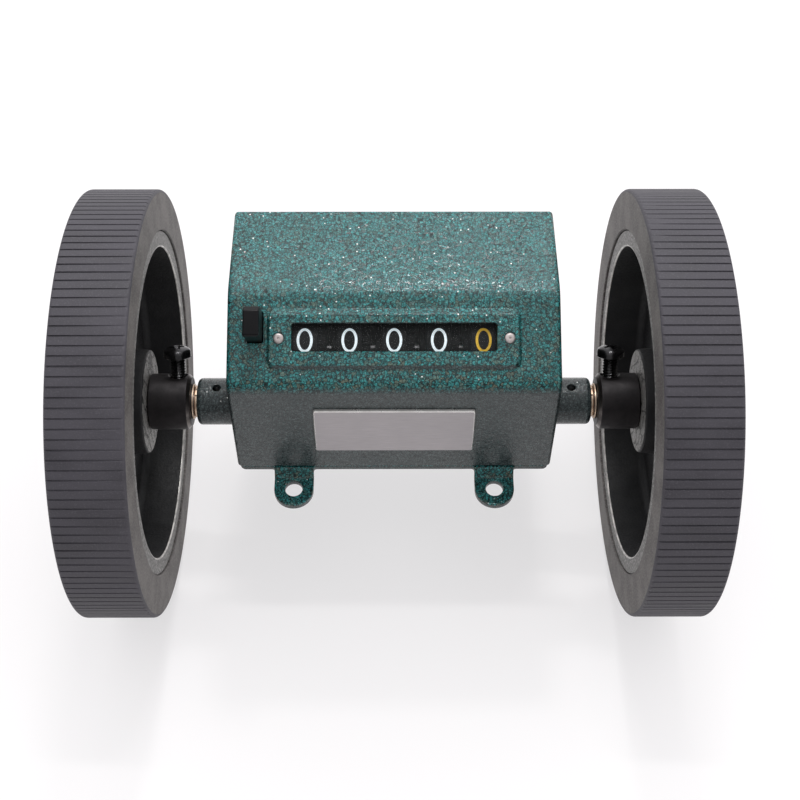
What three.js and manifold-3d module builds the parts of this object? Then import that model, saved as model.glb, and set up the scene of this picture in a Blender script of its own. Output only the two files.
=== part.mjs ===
// Two-wheeled roller length counter: a cast housing with a five-figure drum counter rides on one
// through shaft between two rubber-tyred wheels.
//
// Frame: millimetres, +Z up. The origin is on the shaft's axis, midway between the wheels. +X runs
// along the shaft to the right of somebody reading the counter, and +Y runs away from them.

import * as THREE from 'three';
import { mergeVertices } from 'three/addons/utils/BufferGeometryUtils.js';
import Module from 'manifold-3d';

const wasm = await Module();
wasm.setup();

// ---------------------------------------------------------------- driving dimensions

// Three turns of a wheel measure one metre.
const WHEEL_CIRCUMFERENCE = 1000 / 3;
const WHEEL_RADIUS = WHEEL_CIRCUMFERENCE / (2 * Math.PI);
const WHEEL_INNER_FACE = 57.7;
const WHEEL_OUTER_FACE = 75.1;
const TYRE_SEAT_RADIUS = 42.8;
const TYRE_EDGE = 0.8;
const RIM_INNER_RADIUS = 38.8;
const RIM_INSET = 0.5;
const WEB_INNER_FACE = 69;
const WEB_OUTER_FACE = 72;
const HUB_BOSS_FACE = 61;
const HUB_BOSS_RADIUS = 13;

const SHAFT_RADIUS = 3;
const SHAFT_HALF_LENGTH = 73.5;
const COLLAR_RADIUS = 7;
const COLLAR_START = 50.5;
const COLLAR_SPIGOT_RADIUS = 5;
const SET_SCREW_STATION = 53.9;
const SET_SCREW_LEAN = 36;

const HOUSING_HALF_WIDTH = 39.8;
const HOUSING_FRONT = -10;
const HOUSING_BACK = 36.2;
const HOUSING_BOTTOM = -15;
const HOUSING_TOP = 31;
const FACE_FOOT_Z = 19.5;
const FACE_HEAD_Y = 10.8;
const WALL = 2.2;
const HOUSING_EDGE = 1;

const BOSS_RADIUS = 5.85;
const BOSS_END = 49;
const BUSH_RADIUS = 4;
const OIL_HOLE_STATION = 44;

const PLATEAU_WIDTH = 60.6;
const PLATEAU_DEPTH = 15;
const PLATEAU_HEIGHT = 1.2;
const WINDOW_WIDTH = 48.8;
const WINDOW_DEPTH = 6.8;
const WINDOW_SHIFT = 0.3;
const PANE_THICKNESS = 1;
const RIVET_STATION = 27.4;

const BASE_THICKNESS = 1.8;
const FOOT_WIDTH = 10;
const FOOT_STATION = 25.5;
const FOOT_DROP = 2.2;
const FOOT_HOLE_REACH = 4.9;
const FOOT_HOLE_RADIUS = 2.2;

const DRUM_RADIUS = 11.3;
const DRUM_FACE_WIDTH = 6.1;
const DRUM_PITCH = 10.67;
const DRUM_COUNT = 5;
const DRUM_DEPTH = 13;
const ROD_RADIUS = 1.25;

// Gear train: shaft 16 to idler 32, idler 16 to drum 24, so three shaft turns turn the last drum once.
const GEAR_MODULE = 0.65;
const SHAFT_TEETH = 16;
const IDLER_LARGE_TEETH = 32;
const IDLER_SMALL_TEETH = 16;
const DRUM_INPUT_TEETH = 24;
const CARRY_TEETH = 20;
const PINION_TEETH = 8;

const FIT_GAP = 0.1;
const RUNNING_GAP = 0.15;
const ROUND_STEPS = 24;
const SMALL_STEPS = 14;
const WHEEL_STEPS = 48;

// ---------------------------------------------------------------- derived places

const faceTilt = Math.atan2(HOUSING_TOP - FACE_FOOT_Z, FACE_HEAD_Y - HOUSING_FRONT);
const windowRise = 11.8;

// A point of the sloping face's own frame (rise above the face's foot, height off it) in Y and Z.
function facePoint(rise, height) {
  return {
    y: HOUSING_FRONT + rise * Math.cos(faceTilt) - height * Math.sin(faceTilt),
    z: FACE_FOOT_Z + rise * Math.sin(faceTilt) + height * Math.cos(faceTilt),
  };
}

const drumAxis = facePoint(windowRise, -DRUM_DEPTH);
const shaftToRod = GEAR_MODULE * (SHAFT_TEETH + IDLER_LARGE_TEETH) / 2;
const rodToDrum = GEAR_MODULE * (IDLER_SMALL_TEETH + DRUM_INPUT_TEETH) / 2;
const rodAxis = meetingPoint(drumAxis, shaftToRod, rodToDrum);
const carryModule = 2 * rodToDrum / (CARRY_TEETH + PINION_TEETH);
const shaftToRodAngle = Math.atan2(rodAxis.z, rodAxis.y);
const rodToDrumAngle = Math.atan2(drumAxis.z - rodAxis.z, drumAxis.y - rodAxis.y);
const resetAxis = { y: 25.5, z: 12.5 };

// The point behind the line from the shaft to a target at given distances from both.
function meetingPoint(target, fromShaft, fromTarget) {
  const span = Math.hypot(target.y, target.z);
  const along = (fromShaft ** 2 - fromTarget ** 2 + span ** 2) / (2 * span);
  const across = Math.sqrt(fromShaft ** 2 - along ** 2);
  return {
    y: (along * target.y + across * target.z) / span,
    z: (along * target.z - across * target.y) / span,
  };
}

function drumStation(index) {
  return (index - (DRUM_COUNT + 1) / 2) * DRUM_PITCH;
}

// ---------------------------------------------------------------- materials

function finish(colour, roughness, metalness) {
  return new THREE.MeshStandardMaterial({ color: colour, roughness, metalness });
}

const paint = finish(0x3f7672, 0.35, 0.2);
const rubber = finish(0x3a3a40, 0.85, 0);
const hubCasting = finish(0x1c1d20, 0.6, 0.2);
const blackSteel = finish(0x202225, 0.4, 0.7);
const brightSteel = finish(0xb8bbbf, 0.3, 1);
const bronze = finish(0xa9793f, 0.4, 1);
const brass = finish(0xb89a55, 0.35, 1);
const aluminium = finish(0xc3c6c9, 0.4, 0.9);
const blackPlastic = finish(0x151517, 0.5, 0);
const whitePlastic = finish(0xd8d6cc, 0.5, 0);
const clearPlastic = finish(0xdfe8ea, 0.1, 0);

// ---------------------------------------------------------------- solid helpers

function signedVolume(geometry) {
  const position = geometry.attributes.position;
  const corner = [new THREE.Vector3(), new THREE.Vector3(), new THREE.Vector3()];
  let volume = 0;
  for (let i = 0; i < geometry.index.count; i += 3) {
    corner.forEach((point, k) => point.fromBufferAttribute(position, geometry.index.getX(i + k)));
    volume += corner[0].dot(corner[1].cross(corner[2])) / 6;
  }
  return volume;
}

// A closed geometry as a solid for joining and cutting.
function solid(geometry) {
  const bare = new THREE.BufferGeometry();
  bare.setAttribute('position', geometry.attributes.position);
  bare.setIndex(geometry.index);
  const merged = mergeVertices(bare, 1e-4);
  const corners = merged.index.array;
  const triangles = [];
  const outward = signedVolume(merged) > 0;
  for (let i = 0; i < corners.length; i += 3) {
    const [a, b, c] = [corners[i], corners[i + 1], corners[i + 2]];
    if (a === b || b === c || a === c) continue;
    triangles.push(...(outward ? [a, b, c] : [a, c, b]));
  }
  const vertProperties = new Float32Array(merged.attributes.position.array);
  const triVerts = new Uint32Array(triangles);
  return new wasm.Manifold(new wasm.Mesh({ numProp: 3, vertProperties, triVerts }));
}

function geometryOf(manifold) {
  const mesh = manifold.getMesh();
  const geometry = new THREE.BufferGeometry();
  geometry.setAttribute('position', new THREE.BufferAttribute(mesh.vertProperties, 3));
  geometry.setIndex(new THREE.BufferAttribute(mesh.triVerts, 1));
  geometry.computeVertexNormals();
  return geometry;
}

function joined(first, ...others) {
  return others.reduce((whole, part) => whole.add(part), first);
}

function cut(first, ...tools) {
  return tools.reduce((whole, tool) => whole.subtract(tool), first);
}

// A block by its middle and its sides.
function block(x, y, z, width, depth, height) {
  const box = new THREE.BoxGeometry(width, depth, height);
  return solid(box.translate(x, y, z));
}

// A cylinder along X from x0 to x1.
function barX(radius, x0, x1, y = 0, z = 0, steps = ROUND_STEPS) {
  const bar = new THREE.CylinderGeometry(radius, radius, x1 - x0, steps);
  bar.rotateZ(-Math.PI / 2);
  return solid(bar.translate((x0 + x1) / 2, y, z));
}

// A cylinder along Z from z0 to z1.
function barZ(radius, z0, z1, x = 0, y = 0, steps = SMALL_STEPS) {
  const bar = new THREE.CylinderGeometry(radius, radius, z1 - z0, steps);
  bar.rotateX(Math.PI / 2);
  return solid(bar.translate(x, y, (z0 + z1) / 2));
}

// A solid of revolution about X from [x, radius] pairs.
function turnedX(profile, steps = ROUND_STEPS, y = 0, z = 0) {
  const points = profile.map(([x, radius]) => new THREE.Vector2(radius, x));
  const lathe = new THREE.LatheGeometry(points, steps);
  lathe.rotateZ(-Math.PI / 2);
  return solid(lathe.translate(0, y, z));
}

// A solid of revolution about Z from [z, radius] pairs.
function turnedZ(profile, steps = SMALL_STEPS) {
  const points = profile.map(([z, radius]) => new THREE.Vector2(radius, z));
  const lathe = new THREE.LatheGeometry(points, steps);
  return solid(lathe.rotateX(Math.PI / 2));
}

// A tube along X.
function tubeX(inner, outer, x0, x1, y = 0, z = 0, steps = ROUND_STEPS) {
  return turnedX([[x0, inner], [x0, outer], [x1, outer], [x1, inner], [x0, inner]], steps, y, z);
}

// An outline drawn in Y and Z, made solid from x0 to x1.
function plateX(outline, x0, x1, options = {}) {
  const settings = { depth: x1 - x0, bevelEnabled: false, curveSegments: 4, ...options };
  const plate = new THREE.ExtrudeGeometry(outline, settings);
  const turn = new THREE.Matrix4().makeBasis(
    new THREE.Vector3(0, 1, 0),
    new THREE.Vector3(0, 0, 1),
    new THREE.Vector3(1, 0, 0),
  );
  plate.applyMatrix4(turn);
  return solid(indexed(plate).translate(x0, 0, 0));
}

function indexed(geometry) {
  geometry.deleteAttribute('normal');
  geometry.deleteAttribute('uv');
  return mergeVertices(geometry, 1e-4);
}

// A closed outline through corners [u, v, radius], each rounded by its own radius.
function roundedOutline(corners) {
  const outline = new THREE.Shape();
  corners.forEach(([u, v, radius], i) => {
    const before = corners[(i + corners.length - 1) % corners.length];
    const after = corners[(i + 1) % corners.length];
    const start = pointToward([u, v], before, radius);
    const end = pointToward([u, v], after, radius);
    if (i === 0) outline.moveTo(...start);
    else outline.lineTo(...start);
    if (radius > 0) outline.quadraticCurveTo(u, v, ...end);
  });
  outline.closePath();
  return outline;
}

function pointToward([u, v], [targetU, targetV], distance) {
  const share = distance / Math.hypot(targetU - u, targetV - v);
  return [u + (targetU - u) * share, v + (targetV - v) * share];
}

// Corners moved inward by a distance; the corners run anticlockwise.
function inset(corners, distance) {
  return corners.map(([u, v, radius], i) => {
    const before = corners[(i + corners.length - 1) % corners.length];
    const after = corners[(i + 1) % corners.length];
    const lengthIn = Math.hypot(u - before[0], v - before[1]);
    const lengthOut = Math.hypot(after[0] - u, after[1] - v);
    const normalIn = [-(v - before[1]) / lengthIn, (u - before[0]) / lengthIn];
    const normalOut = [-(after[1] - v) / lengthOut, (after[0] - u) / lengthOut];
    const spread = 1 + normalIn[0] * normalOut[0] + normalIn[1] * normalOut[1];
    const moveU = (normalIn[0] + normalOut[0]) / spread;
    const moveV = (normalIn[1] + normalOut[1]) / spread;
    return [u + moveU * distance, v + moveV * distance, radius];
  });
}

function rectangle(u0, v0, u1, v1, radius = 0) {
  return [[u0, v0, radius], [u1, v0, radius], [u1, v1, radius], [u0, v1, radius]];
}

// A flat plate of an outline drawn in X and Y, made solid from z0 to z1.
function plateZ(outline, z0, z1, options = {}) {
  const settings = { depth: z1 - z0, bevelEnabled: false, curveSegments: 4, ...options };
  const plate = new THREE.ExtrudeGeometry(outline, settings);
  return solid(indexed(plate).translate(0, 0, z0));
}

// A solid drawn flat (X across, Y up the slope, Z off the face), laid on the housing's sloping face
// with its origin at the middle of the raised window frame.
function onFace(manifold) {
  const middle = facePoint(windowRise, 0);
  return manifold.rotate([THREE.MathUtils.radToDeg(faceTilt), 0, 0]).translate([0, middle.y, middle.z]);
}

// A gear's outline in Y and Z about its own axis; one tooth points along the given angle.
function gearOutline(teeth, toothModule, towardAngle) {
  const pitchRadius = toothModule * teeth / 2;
  const tip = pitchRadius + 0.75 * toothModule;
  const root = pitchRadius - 1.2 * toothModule;
  const pitchStep = 2 * Math.PI / teeth;
  const rootHalf = pitchStep * 0.22;
  const tipHalf = pitchStep * 0.07;
  const outline = new THREE.Shape();
  for (let k = 0; k < teeth; k += 1) {
    const middle = towardAngle + k * pitchStep;
    const corners = [[root, -rootHalf], [tip, -tipHalf], [tip, tipHalf], [root, rootHalf]];
    corners.forEach(([radius, offset], i) => {
      const y = radius * Math.cos(middle + offset);
      const z = radius * Math.sin(middle + offset);
      if (k === 0 && i === 0) outline.moveTo(y, z);
      else outline.lineTo(y, z);
    });
  }
  outline.closePath();
  return outline;
}

const shaftAxis = { y: 0, z: 0 };

// A toothed disc, not yet bored.
function gearX(teeth, toothModule, towardAngle, x0, x1, axis) {
  const gear = plateX(gearOutline(teeth, toothModule, towardAngle), x0, x1);
  return gear.translate([0, axis.y, axis.z]);
}

// Everything bored through along X on an axis.
function bored(manifold, radius, axis, steps = SMALL_STEPS) {
  return cut(manifold, barX(radius, -SHAFT_HALF_LENGTH, SHAFT_HALF_LENGTH, axis.y, axis.z, steps));
}

// ---------------------------------------------------------------- assembly

const counter = new THREE.Group();
counter.name = 'roller_length_counter';

function place(name, manifold, material) {
  const mesh = new THREE.Mesh(geometryOf(manifold), material);
  mesh.name = name;
  counter.add(mesh);
}

// The same solid on both sides of the middle plane: the left one is turned half round about Z.
// Both can then be turned about the shaft by an angle in degrees.
function placePair(leftName, rightName, manifold, material, turn = 0) {
  place(rightName, manifold.rotate([turn, 0, 0]), material);
  place(leftName, manifold.rotate([0, 0, 180]).rotate([turn, 0, 0]), material);
}

// ---------------------------------------------------------------- housing

const housingCorners = [
  [HOUSING_FRONT, HOUSING_BOTTOM, 0],
  [HOUSING_BACK, HOUSING_BOTTOM, 0],
  [HOUSING_BACK, HOUSING_TOP, 0],
  [FACE_HEAD_Y, HOUSING_TOP, 3],
  [HOUSING_FRONT, FACE_FOOT_Z, 3],
];

const PANE_TOP = -0.3;
const PANE_WIDTH = 59;
const PANE_DEPTH = 11;
const RIVET_HOLE = 1.1;
const POST = 6.8;
const POST_TOP = -6;
const BASE_SCREW_RADIUS = 1.5;

const KEY_STATION = -33.2;
const KEY_WIDTH = 3.8;
const KEY_RISE = 14.7;
const KEY_LENGTH = 7.2;
const KEY_HEIGHT = 9.6;
const KEY_DEPTH = 6;
const LEVER_THICKNESS = 1.6;

const POST_X = HOUSING_HALF_WIDTH - WALL - POST / 2;
const POST_FRONT = HOUSING_FRONT + WALL + POST / 2;
const POST_BACK = HOUSING_BACK - WALL - POST / 2;
const postPlaces = [
  [-POST_X, POST_FRONT],
  [POST_X, POST_FRONT],
  [-POST_X, POST_BACK],
  [POST_X, POST_BACK],
];

const SPRING_PEG = { ...facePoint(KEY_RISE + 6, -3.9), radius: 1 };
const innerWall = HOUSING_HALF_WIDTH - WALL;

function housingBlank() {
  const edge = {
    bevelEnabled: true,
    bevelSize: HOUSING_EDGE,
    bevelThickness: HOUSING_EDGE,
    bevelOffset: -HOUSING_EDGE,
    bevelSegments: 2,
    curveSegments: 4,
  };
  const straight = HOUSING_HALF_WIDTH - HOUSING_EDGE;
  return plateX(roundedOutline(housingCorners), -straight, straight, edge);
}

function housingCavity() {
  const inner = inset(housingCorners, WALL);
  inner[0][1] = HOUSING_BOTTOM - 1;
  inner[1][1] = HOUSING_BOTTOM - 1;
  return plateX(roundedOutline(inner), -innerWall, innerWall);
}

function bearingBoss(side) {
  const chamfer = 1.2;
  const boss = turnedX([
    [innerWall + FIT_GAP, 0],
    [innerWall + FIT_GAP, BOSS_RADIUS],
    [BOSS_END - chamfer, BOSS_RADIUS],
    [BOSS_END, BOSS_RADIUS - chamfer],
    [BOSS_END, 0],
  ]);
  return side > 0 ? boss : boss.rotate([0, 0, 180]);
}

// The raised frame round the window: steep at its ends, and sloping gently along its upper side.
function plateau() {
  const sideSlope = 0.8;
  const upperSlope = 1.9;
  const lowerSlope = 1.2;
  const halfWidth = PLATEAU_WIDTH / 2;
  const halfDepth = PLATEAU_DEPTH / 2;
  const outline = roundedOutline(rectangle(-halfWidth, -halfDepth, halfWidth, halfDepth, 2));
  const settings = { depth: PLATEAU_HEIGHT, bevelEnabled: false, curveSegments: 3 };
  const rise = new THREE.ExtrudeGeometry(outline, settings);
  const position = rise.attributes.position;
  for (let i = 0; i < position.count; i += 1) {
    const share = position.getZ(i) / PLATEAU_HEIGHT;
    const narrowed = 1 - share * sideSlope / halfWidth;
    const shallowed = 1 - share * (upperSlope + lowerSlope) / PLATEAU_DEPTH;
    position.setX(i, position.getX(i) * narrowed);
    position.setY(i, position.getY(i) * shallowed + share * (lowerSlope - upperSlope) / 2);
  }
  return onFace(joined(plateZ(outline, -WALL + FIT_GAP, 0.01), solid(indexed(rise))));
}

function windowCuts() {
  const reach = 4;
  const opening = roundedOutline(
    rectangle(-WINDOW_WIDTH / 2, -WINDOW_DEPTH / 2, WINDOW_WIDTH / 2, WINDOW_DEPTH / 2, 0.6),
  );
  const pocketWidth = PANE_WIDTH + 2 * FIT_GAP;
  const pocketDepth = PANE_DEPTH + 2 * FIT_GAP;
  const pocketMiddle = PANE_TOP + FIT_GAP - reach / 2;
  return [
    onFace(plateZ(opening, -reach, reach).translate([0, WINDOW_SHIFT, 0])),
    onFace(block(0, 0, pocketMiddle, pocketWidth, pocketDepth, reach)),
    onFace(barZ(RIVET_HOLE, -reach, reach, -RIVET_STATION, 0)),
    onFace(barZ(RIVET_HOLE, -reach, reach, RIVET_STATION, 0)),
  ];
}

// The opening that the reset key slides in.
function keyOpening() {
  const clearance = 0.25;
  const halfWidth = KEY_WIDTH / 2 + clearance;
  const halfLength = KEY_LENGTH / 2 + clearance;
  const outline = roundedOutline(rectangle(-halfWidth, -halfLength, halfWidth, halfLength, 0.5));
  return onFace(plateZ(outline, -4, 4).translate([KEY_STATION, KEY_RISE - windowRise, 0]));
}

function buildHousing() {
  const boreRadius = BUSH_RADIUS + FIT_GAP;
  const oilHoleRadius = 1.05;
  const postHeight = POST_TOP - HOUSING_BOTTOM;
  const postMiddle = (POST_TOP + HOUSING_BOTTOM) / 2;
  let shell = cut(housingBlank(), housingCavity());
  shell = joined(shell, bearingBoss(-1), bearingBoss(1), plateau());
  for (const [x, y] of postPlaces) {
    const post = block(x, y, postMiddle, POST + 1, POST + 1, postHeight);
    shell = joined(shell, post.translate([Math.sign(x) / 2, Math.sign(y) / 2, 0]));
    shell = cut(shell, barZ(BASE_SCREW_RADIUS + FIT_GAP, HOUSING_BOTTOM - 1, POST_TOP - 1, x, y));
  }
  for (const side of [-1, 1]) {
    const bore = barX(boreRadius, innerWall - 1, BOSS_END + 1);
    shell = cut(shell, side > 0 ? bore : bore.rotate([0, 0, 180]));
    shell = cut(shell, barZ(oilHoleRadius, 0, BOSS_RADIUS + 1, side * OIL_HOLE_STATION, 0));
  }
  const pegHole = barX(
    SPRING_PEG.radius + FIT_GAP, -innerWall - 1, -innerWall + 1, SPRING_PEG.y, SPRING_PEG.z, SMALL_STEPS,
  );
  return cut(shell, ...windowCuts(), keyOpening(), pegHole);
}

place('housing_shell', buildHousing(), paint);

// ---------------------------------------------------------------- base plate and screws

const baseTop = HOUSING_BOTTOM - FIT_GAP;
const baseBottom = baseTop - BASE_THICKNESS;
const footRows = [
  { edge: HOUSING_FRONT, away: -1 },
  { edge: HOUSING_BACK, away: 1 },
];

// A countersunk screw standing on its head, its head's flat face at z = 0.
function countersunkScrew(length) {
  const headRadius = 2.9;
  const slot = block(0, 0, 0, 4 * headRadius, 0.8, 1.2);
  const body = turnedZ([
    [0, 0],
    [0, headRadius],
    [headRadius - BASE_SCREW_RADIUS, BASE_SCREW_RADIUS],
    [length, BASE_SCREW_RADIUS],
    [length, 0],
  ]);
  return cut(body, slot);
}

function countersunkHole(x, y) {
  const edge = BASE_THICKNESS + FIT_GAP;
  const hole = turnedZ([
    [-1, 0],
    [-1, 3.1],
    [FIT_GAP, 3.1],
    [FIT_GAP + 1.5, BASE_SCREW_RADIUS + FIT_GAP],
    [edge + 1, BASE_SCREW_RADIUS + FIT_GAP],
    [edge + 1, 0],
  ]);
  return hole.translate([x, y, baseBottom]);
}

const framePlaces = {
  left: { inner: -27.2, side: -1 },
  right: { inner: 32.1, side: 1 },
};
const FRAME_THICKNESS = 1.5;
const FLANGE_LENGTH = 9;
const FLANGE_WIDTH = 13.6;
const FRAME_SCREW_Y = 13;

function frameScrewX(frame) {
  return frame.inner - frame.side * (FLANGE_LENGTH / 2);
}

// One foot: the sheet steps down just outside the housing and ends in a round, pierced tongue.
function buildFoot({ edge, away }, side) {
  const x = side * FOOT_STATION;
  const holeY = edge + away * FOOT_HOLE_REACH;
  const run = 1.4;
  const stepStart = edge - away * 0.2;
  const stepEnd = stepStart + away * (run + 0.9);
  const lower = baseBottom - FOOT_DROP;
  const sheet = [
    [stepStart - away * 3, baseTop],
    [stepStart, baseTop],
    [stepEnd, baseTop - FOOT_DROP],
    [holeY, baseTop - FOOT_DROP],
    [holeY, lower],
    [stepEnd - away * 0.8, lower],
    [stepStart - away * 0.8, baseBottom],
    [stepStart - away * 3, baseBottom],
  ];
  const outline = roundedOutline(sheet.map(([y, z]) => [y, z, 0]));
  const tongue = plateX(outline, x - FOOT_WIDTH / 2, x + FOOT_WIDTH / 2);
  const tip = barZ(FOOT_WIDTH / 2, lower, baseTop - FOOT_DROP, x, holeY, ROUND_STEPS);
  return cut(joined(tongue, tip), barZ(FOOT_HOLE_RADIUS, lower - 1, baseTop + 1, x, holeY));
}

function buildBasePlate() {
  const margin = 0.4;
  const half = HOUSING_HALF_WIDTH - margin;
  const outline = rectangle(-half, HOUSING_FRONT + margin, half, HOUSING_BACK - margin, 1.5);
  let plate = plateZ(roundedOutline(outline), baseBottom, baseTop);
  for (const row of footRows) {
    plate = joined(plate, buildFoot(row, -1), buildFoot(row, 1));
  }
  for (const [x, y] of postPlaces) plate = cut(plate, countersunkHole(x, y));
  for (const frame of Object.values(framePlaces)) {
    plate = cut(plate, countersunkHole(frameScrewX(frame), FRAME_SCREW_Y));
  }
  return plate;
}

place('base_plate', buildBasePlate(), paint);
const screwFaceZ = baseBottom + FIT_GAP + 0.1;
postPlaces.forEach(([x, y], i) => {
  place(`base_screw_${i + 1}`, countersunkScrew(9).translate([x, y, screwFaceZ]), brightSteel);
});

// ---------------------------------------------------------------- window pane, rivets and nameplate

function buildPane() {
  const middle = PANE_TOP - PANE_THICKNESS / 2;
  const pane = block(0, 0, middle, PANE_WIDTH, PANE_DEPTH, PANE_THICKNESS);
  const holes = [-1, 1].map((side) => barZ(RIVET_HOLE, -3, 3, side * RIVET_STATION, 0));
  return onFace(cut(pane, ...holes));
}

function buildRivet(side) {
  const shank = 1;
  const underHead = PLATEAU_HEIGHT + FIT_GAP;
  const underPane = PANE_TOP - PANE_THICKNESS - FIT_GAP;
  const rivet = turnedZ([
    [underPane - 0.5, 0],
    [underPane - 0.5, 1.5],
    [underPane, 1.6],
    [underPane, shank],
    [underHead, shank],
    [underHead, 1.4],
    [underHead + 0.4, 1.15],
    [underHead + 0.65, 0.6],
    [underHead + 0.7, 0],
  ]);
  return onFace(rivet.translate([side * RIVET_STATION, 0, 0]));
}

place('window_pane', buildPane(), clearPlastic);
place('window_rivet_left', buildRivet(-1), brightSteel);
place('window_rivet_right', buildRivet(1), brightSteel);

const PLATE_WIDTH = 39.2;
const PLATE_BOTTOM = -6.1;
const PLATE_TOP = 11.1;
const PLATE_THICKNESS = 0.8;

function buildNameplate() {
  const half = PLATE_WIDTH / 2;
  const outline = roundedOutline(rectangle(-half, PLATE_BOTTOM, half, PLATE_TOP, 1));
  const plate = plateZ(outline, 0, PLATE_THICKNESS);
  return plate.rotate([90, 0, 0]).translate([0, HOUSING_FRONT - FIT_GAP, 0]);
}

place('nameplate', buildNameplate(), aluminium);

// ---------------------------------------------------------------- shaft, bushes and wheels

const GEAR_START = 27.9;
const GEAR_FACE_END = 30.9;
const GEAR_HUB_END = 35.6;
const GEAR_HUB_RADIUS = 4.6;
const PIN_STATION = 34;
const PIN_RADIUS = 0.75;

function buildBush() {
  const bush = tubeX(SHAFT_RADIUS + RUNNING_GAP, BUSH_RADIUS, innerWall, BOSS_END + 0.7);
  return cut(bush, barZ(1, 0, BUSH_RADIUS + 1, OIL_HOLE_STATION, 0));
}

function buildShaft() {
  const chamfer = 0.6;
  const shaft = turnedX([
    [-SHAFT_HALF_LENGTH, 0],
    [-SHAFT_HALF_LENGTH, SHAFT_RADIUS - chamfer],
    [-SHAFT_HALF_LENGTH + chamfer, SHAFT_RADIUS],
    [SHAFT_HALF_LENGTH - chamfer, SHAFT_RADIUS],
    [SHAFT_HALF_LENGTH, SHAFT_RADIUS - chamfer],
    [SHAFT_HALF_LENGTH, 0],
  ]);
  return cut(shaft, barZ(PIN_RADIUS + FIT_GAP, -GEAR_HUB_RADIUS, GEAR_HUB_RADIUS, PIN_STATION, 0));
}

function buildDriveGear() {
  const bore = SHAFT_RADIUS + FIT_GAP;
  const gear = gearX(SHAFT_TEETH, GEAR_MODULE, shaftToRodAngle, GEAR_START, GEAR_FACE_END, shaftAxis);
  const hub = barX(GEAR_HUB_RADIUS, GEAR_FACE_END - 0.5, GEAR_HUB_END);
  const pinHole = barZ(PIN_RADIUS + FIT_GAP, -6, 6, PIN_STATION, 0);
  return cut(bored(joined(gear, hub), bore, shaftAxis, ROUND_STEPS), pinHole);
}

function buildThrustWasher() {
  return tubeX(SHAFT_RADIUS + FIT_GAP, 4.4, BOSS_END + 0.85, BOSS_END + 1.3);
}

function buildCollar() {
  const chamfer = 0.9;
  const bore = SHAFT_RADIUS + FIT_GAP;
  const shoulder = HUB_BOSS_FACE - FIT_GAP;
  const collar = turnedX([
    [COLLAR_START, bore],
    [COLLAR_START, COLLAR_RADIUS - chamfer],
    [COLLAR_START + chamfer, COLLAR_RADIUS],
    [shoulder, COLLAR_RADIUS],
    [shoulder, COLLAR_SPIGOT_RADIUS],
    [WEB_OUTER_FACE, COLLAR_SPIGOT_RADIUS],
    [WEB_OUTER_FACE, bore],
    [COLLAR_START, bore],
  ]);
  return cut(collar, barZ(2.05, 0, COLLAR_RADIUS + 1, SET_SCREW_STATION, 0));
}

// A cross-recessed pan-head screw standing on the shaft, its head well clear of the collar.
function buildCollarScrew() {
  const tip = SHAFT_RADIUS + FIT_GAP;
  const underHead = 11.7;
  const headRadius = 3.4;
  const headHeight = 2.6;
  const body = turnedZ([
    [tip, 0],
    [tip, 1.5],
    [tip + 0.5, 1.95],
    [underHead, 1.95],
    [underHead, headRadius],
    [underHead + headHeight * 0.55, headRadius],
    [underHead + headHeight * 0.9, headRadius * 0.72],
    [underHead + headHeight, headRadius * 0.35],
    [underHead + headHeight, 0],
  ]);
  const top = underHead + headHeight;
  const crossWide = block(0, 0, top, 3.8, 0.9, 2.4);
  const crossLong = block(0, 0, top, 0.9, 3.8, 2.4);
  return cut(body, crossWide, crossLong).translate([SET_SCREW_STATION, 0, 0]);
}

function buildWheelHub() {
  const rimStart = WHEEL_INNER_FACE + RIM_INSET;
  const rimEnd = WHEEL_OUTER_FACE - RIM_INSET;
  const bore = COLLAR_SPIGOT_RADIUS + FIT_GAP;
  const draft = 0.7;
  return turnedX([
    [HUB_BOSS_FACE, bore],
    [HUB_BOSS_FACE, HUB_BOSS_RADIUS - 0.6],
    [HUB_BOSS_FACE + 0.6, HUB_BOSS_RADIUS],
    [WEB_INNER_FACE, HUB_BOSS_RADIUS + draft],
    [WEB_INNER_FACE, RIM_INNER_RADIUS - draft],
    [rimStart, RIM_INNER_RADIUS],
    [rimStart, TYRE_SEAT_RADIUS],
    [rimEnd, TYRE_SEAT_RADIUS],
    [rimEnd, RIM_INNER_RADIUS],
    [WEB_OUTER_FACE, RIM_INNER_RADIUS - draft],
    [WEB_OUTER_FACE, bore],
    [HUB_BOSS_FACE, bore],
  ], WHEEL_STEPS);
}

function buildTyre() {
  const seat = TYRE_SEAT_RADIUS + FIT_GAP;
  return turnedX([
    [WHEEL_INNER_FACE, seat],
    [WHEEL_INNER_FACE, WHEEL_RADIUS - TYRE_EDGE],
    [WHEEL_INNER_FACE + TYRE_EDGE, WHEEL_RADIUS],
    [WHEEL_OUTER_FACE - TYRE_EDGE, WHEEL_RADIUS],
    [WHEEL_OUTER_FACE, WHEEL_RADIUS - TYRE_EDGE],
    [WHEEL_OUTER_FACE, seat],
    [WHEEL_INNER_FACE, seat],
  ], WHEEL_STEPS);
}

placePair('bush_left', 'bush_right', buildBush(), bronze);
place('main_shaft', buildShaft(), brightSteel);
place('drive_gear', buildDriveGear(), brass);
place('drive_gear_pin', barZ(PIN_RADIUS, -4.4, 4.4, PIN_STATION, 0), brightSteel);
placePair('thrust_washer_left', 'thrust_washer_right', buildThrustWasher(), bronze);
placePair('collar_left', 'collar_right', buildCollar(), blackSteel, -SET_SCREW_LEAN);
placePair('collar_screw_left', 'collar_screw_right', buildCollarScrew(), blackSteel, -SET_SCREW_LEAN);
placePair('wheel_hub_left', 'wheel_hub_right', buildWheelHub(), hubCasting);
placePair('tyre_left', 'tyre_right', buildTyre(), rubber);

// ---------------------------------------------------------------- counter frame and rods

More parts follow.
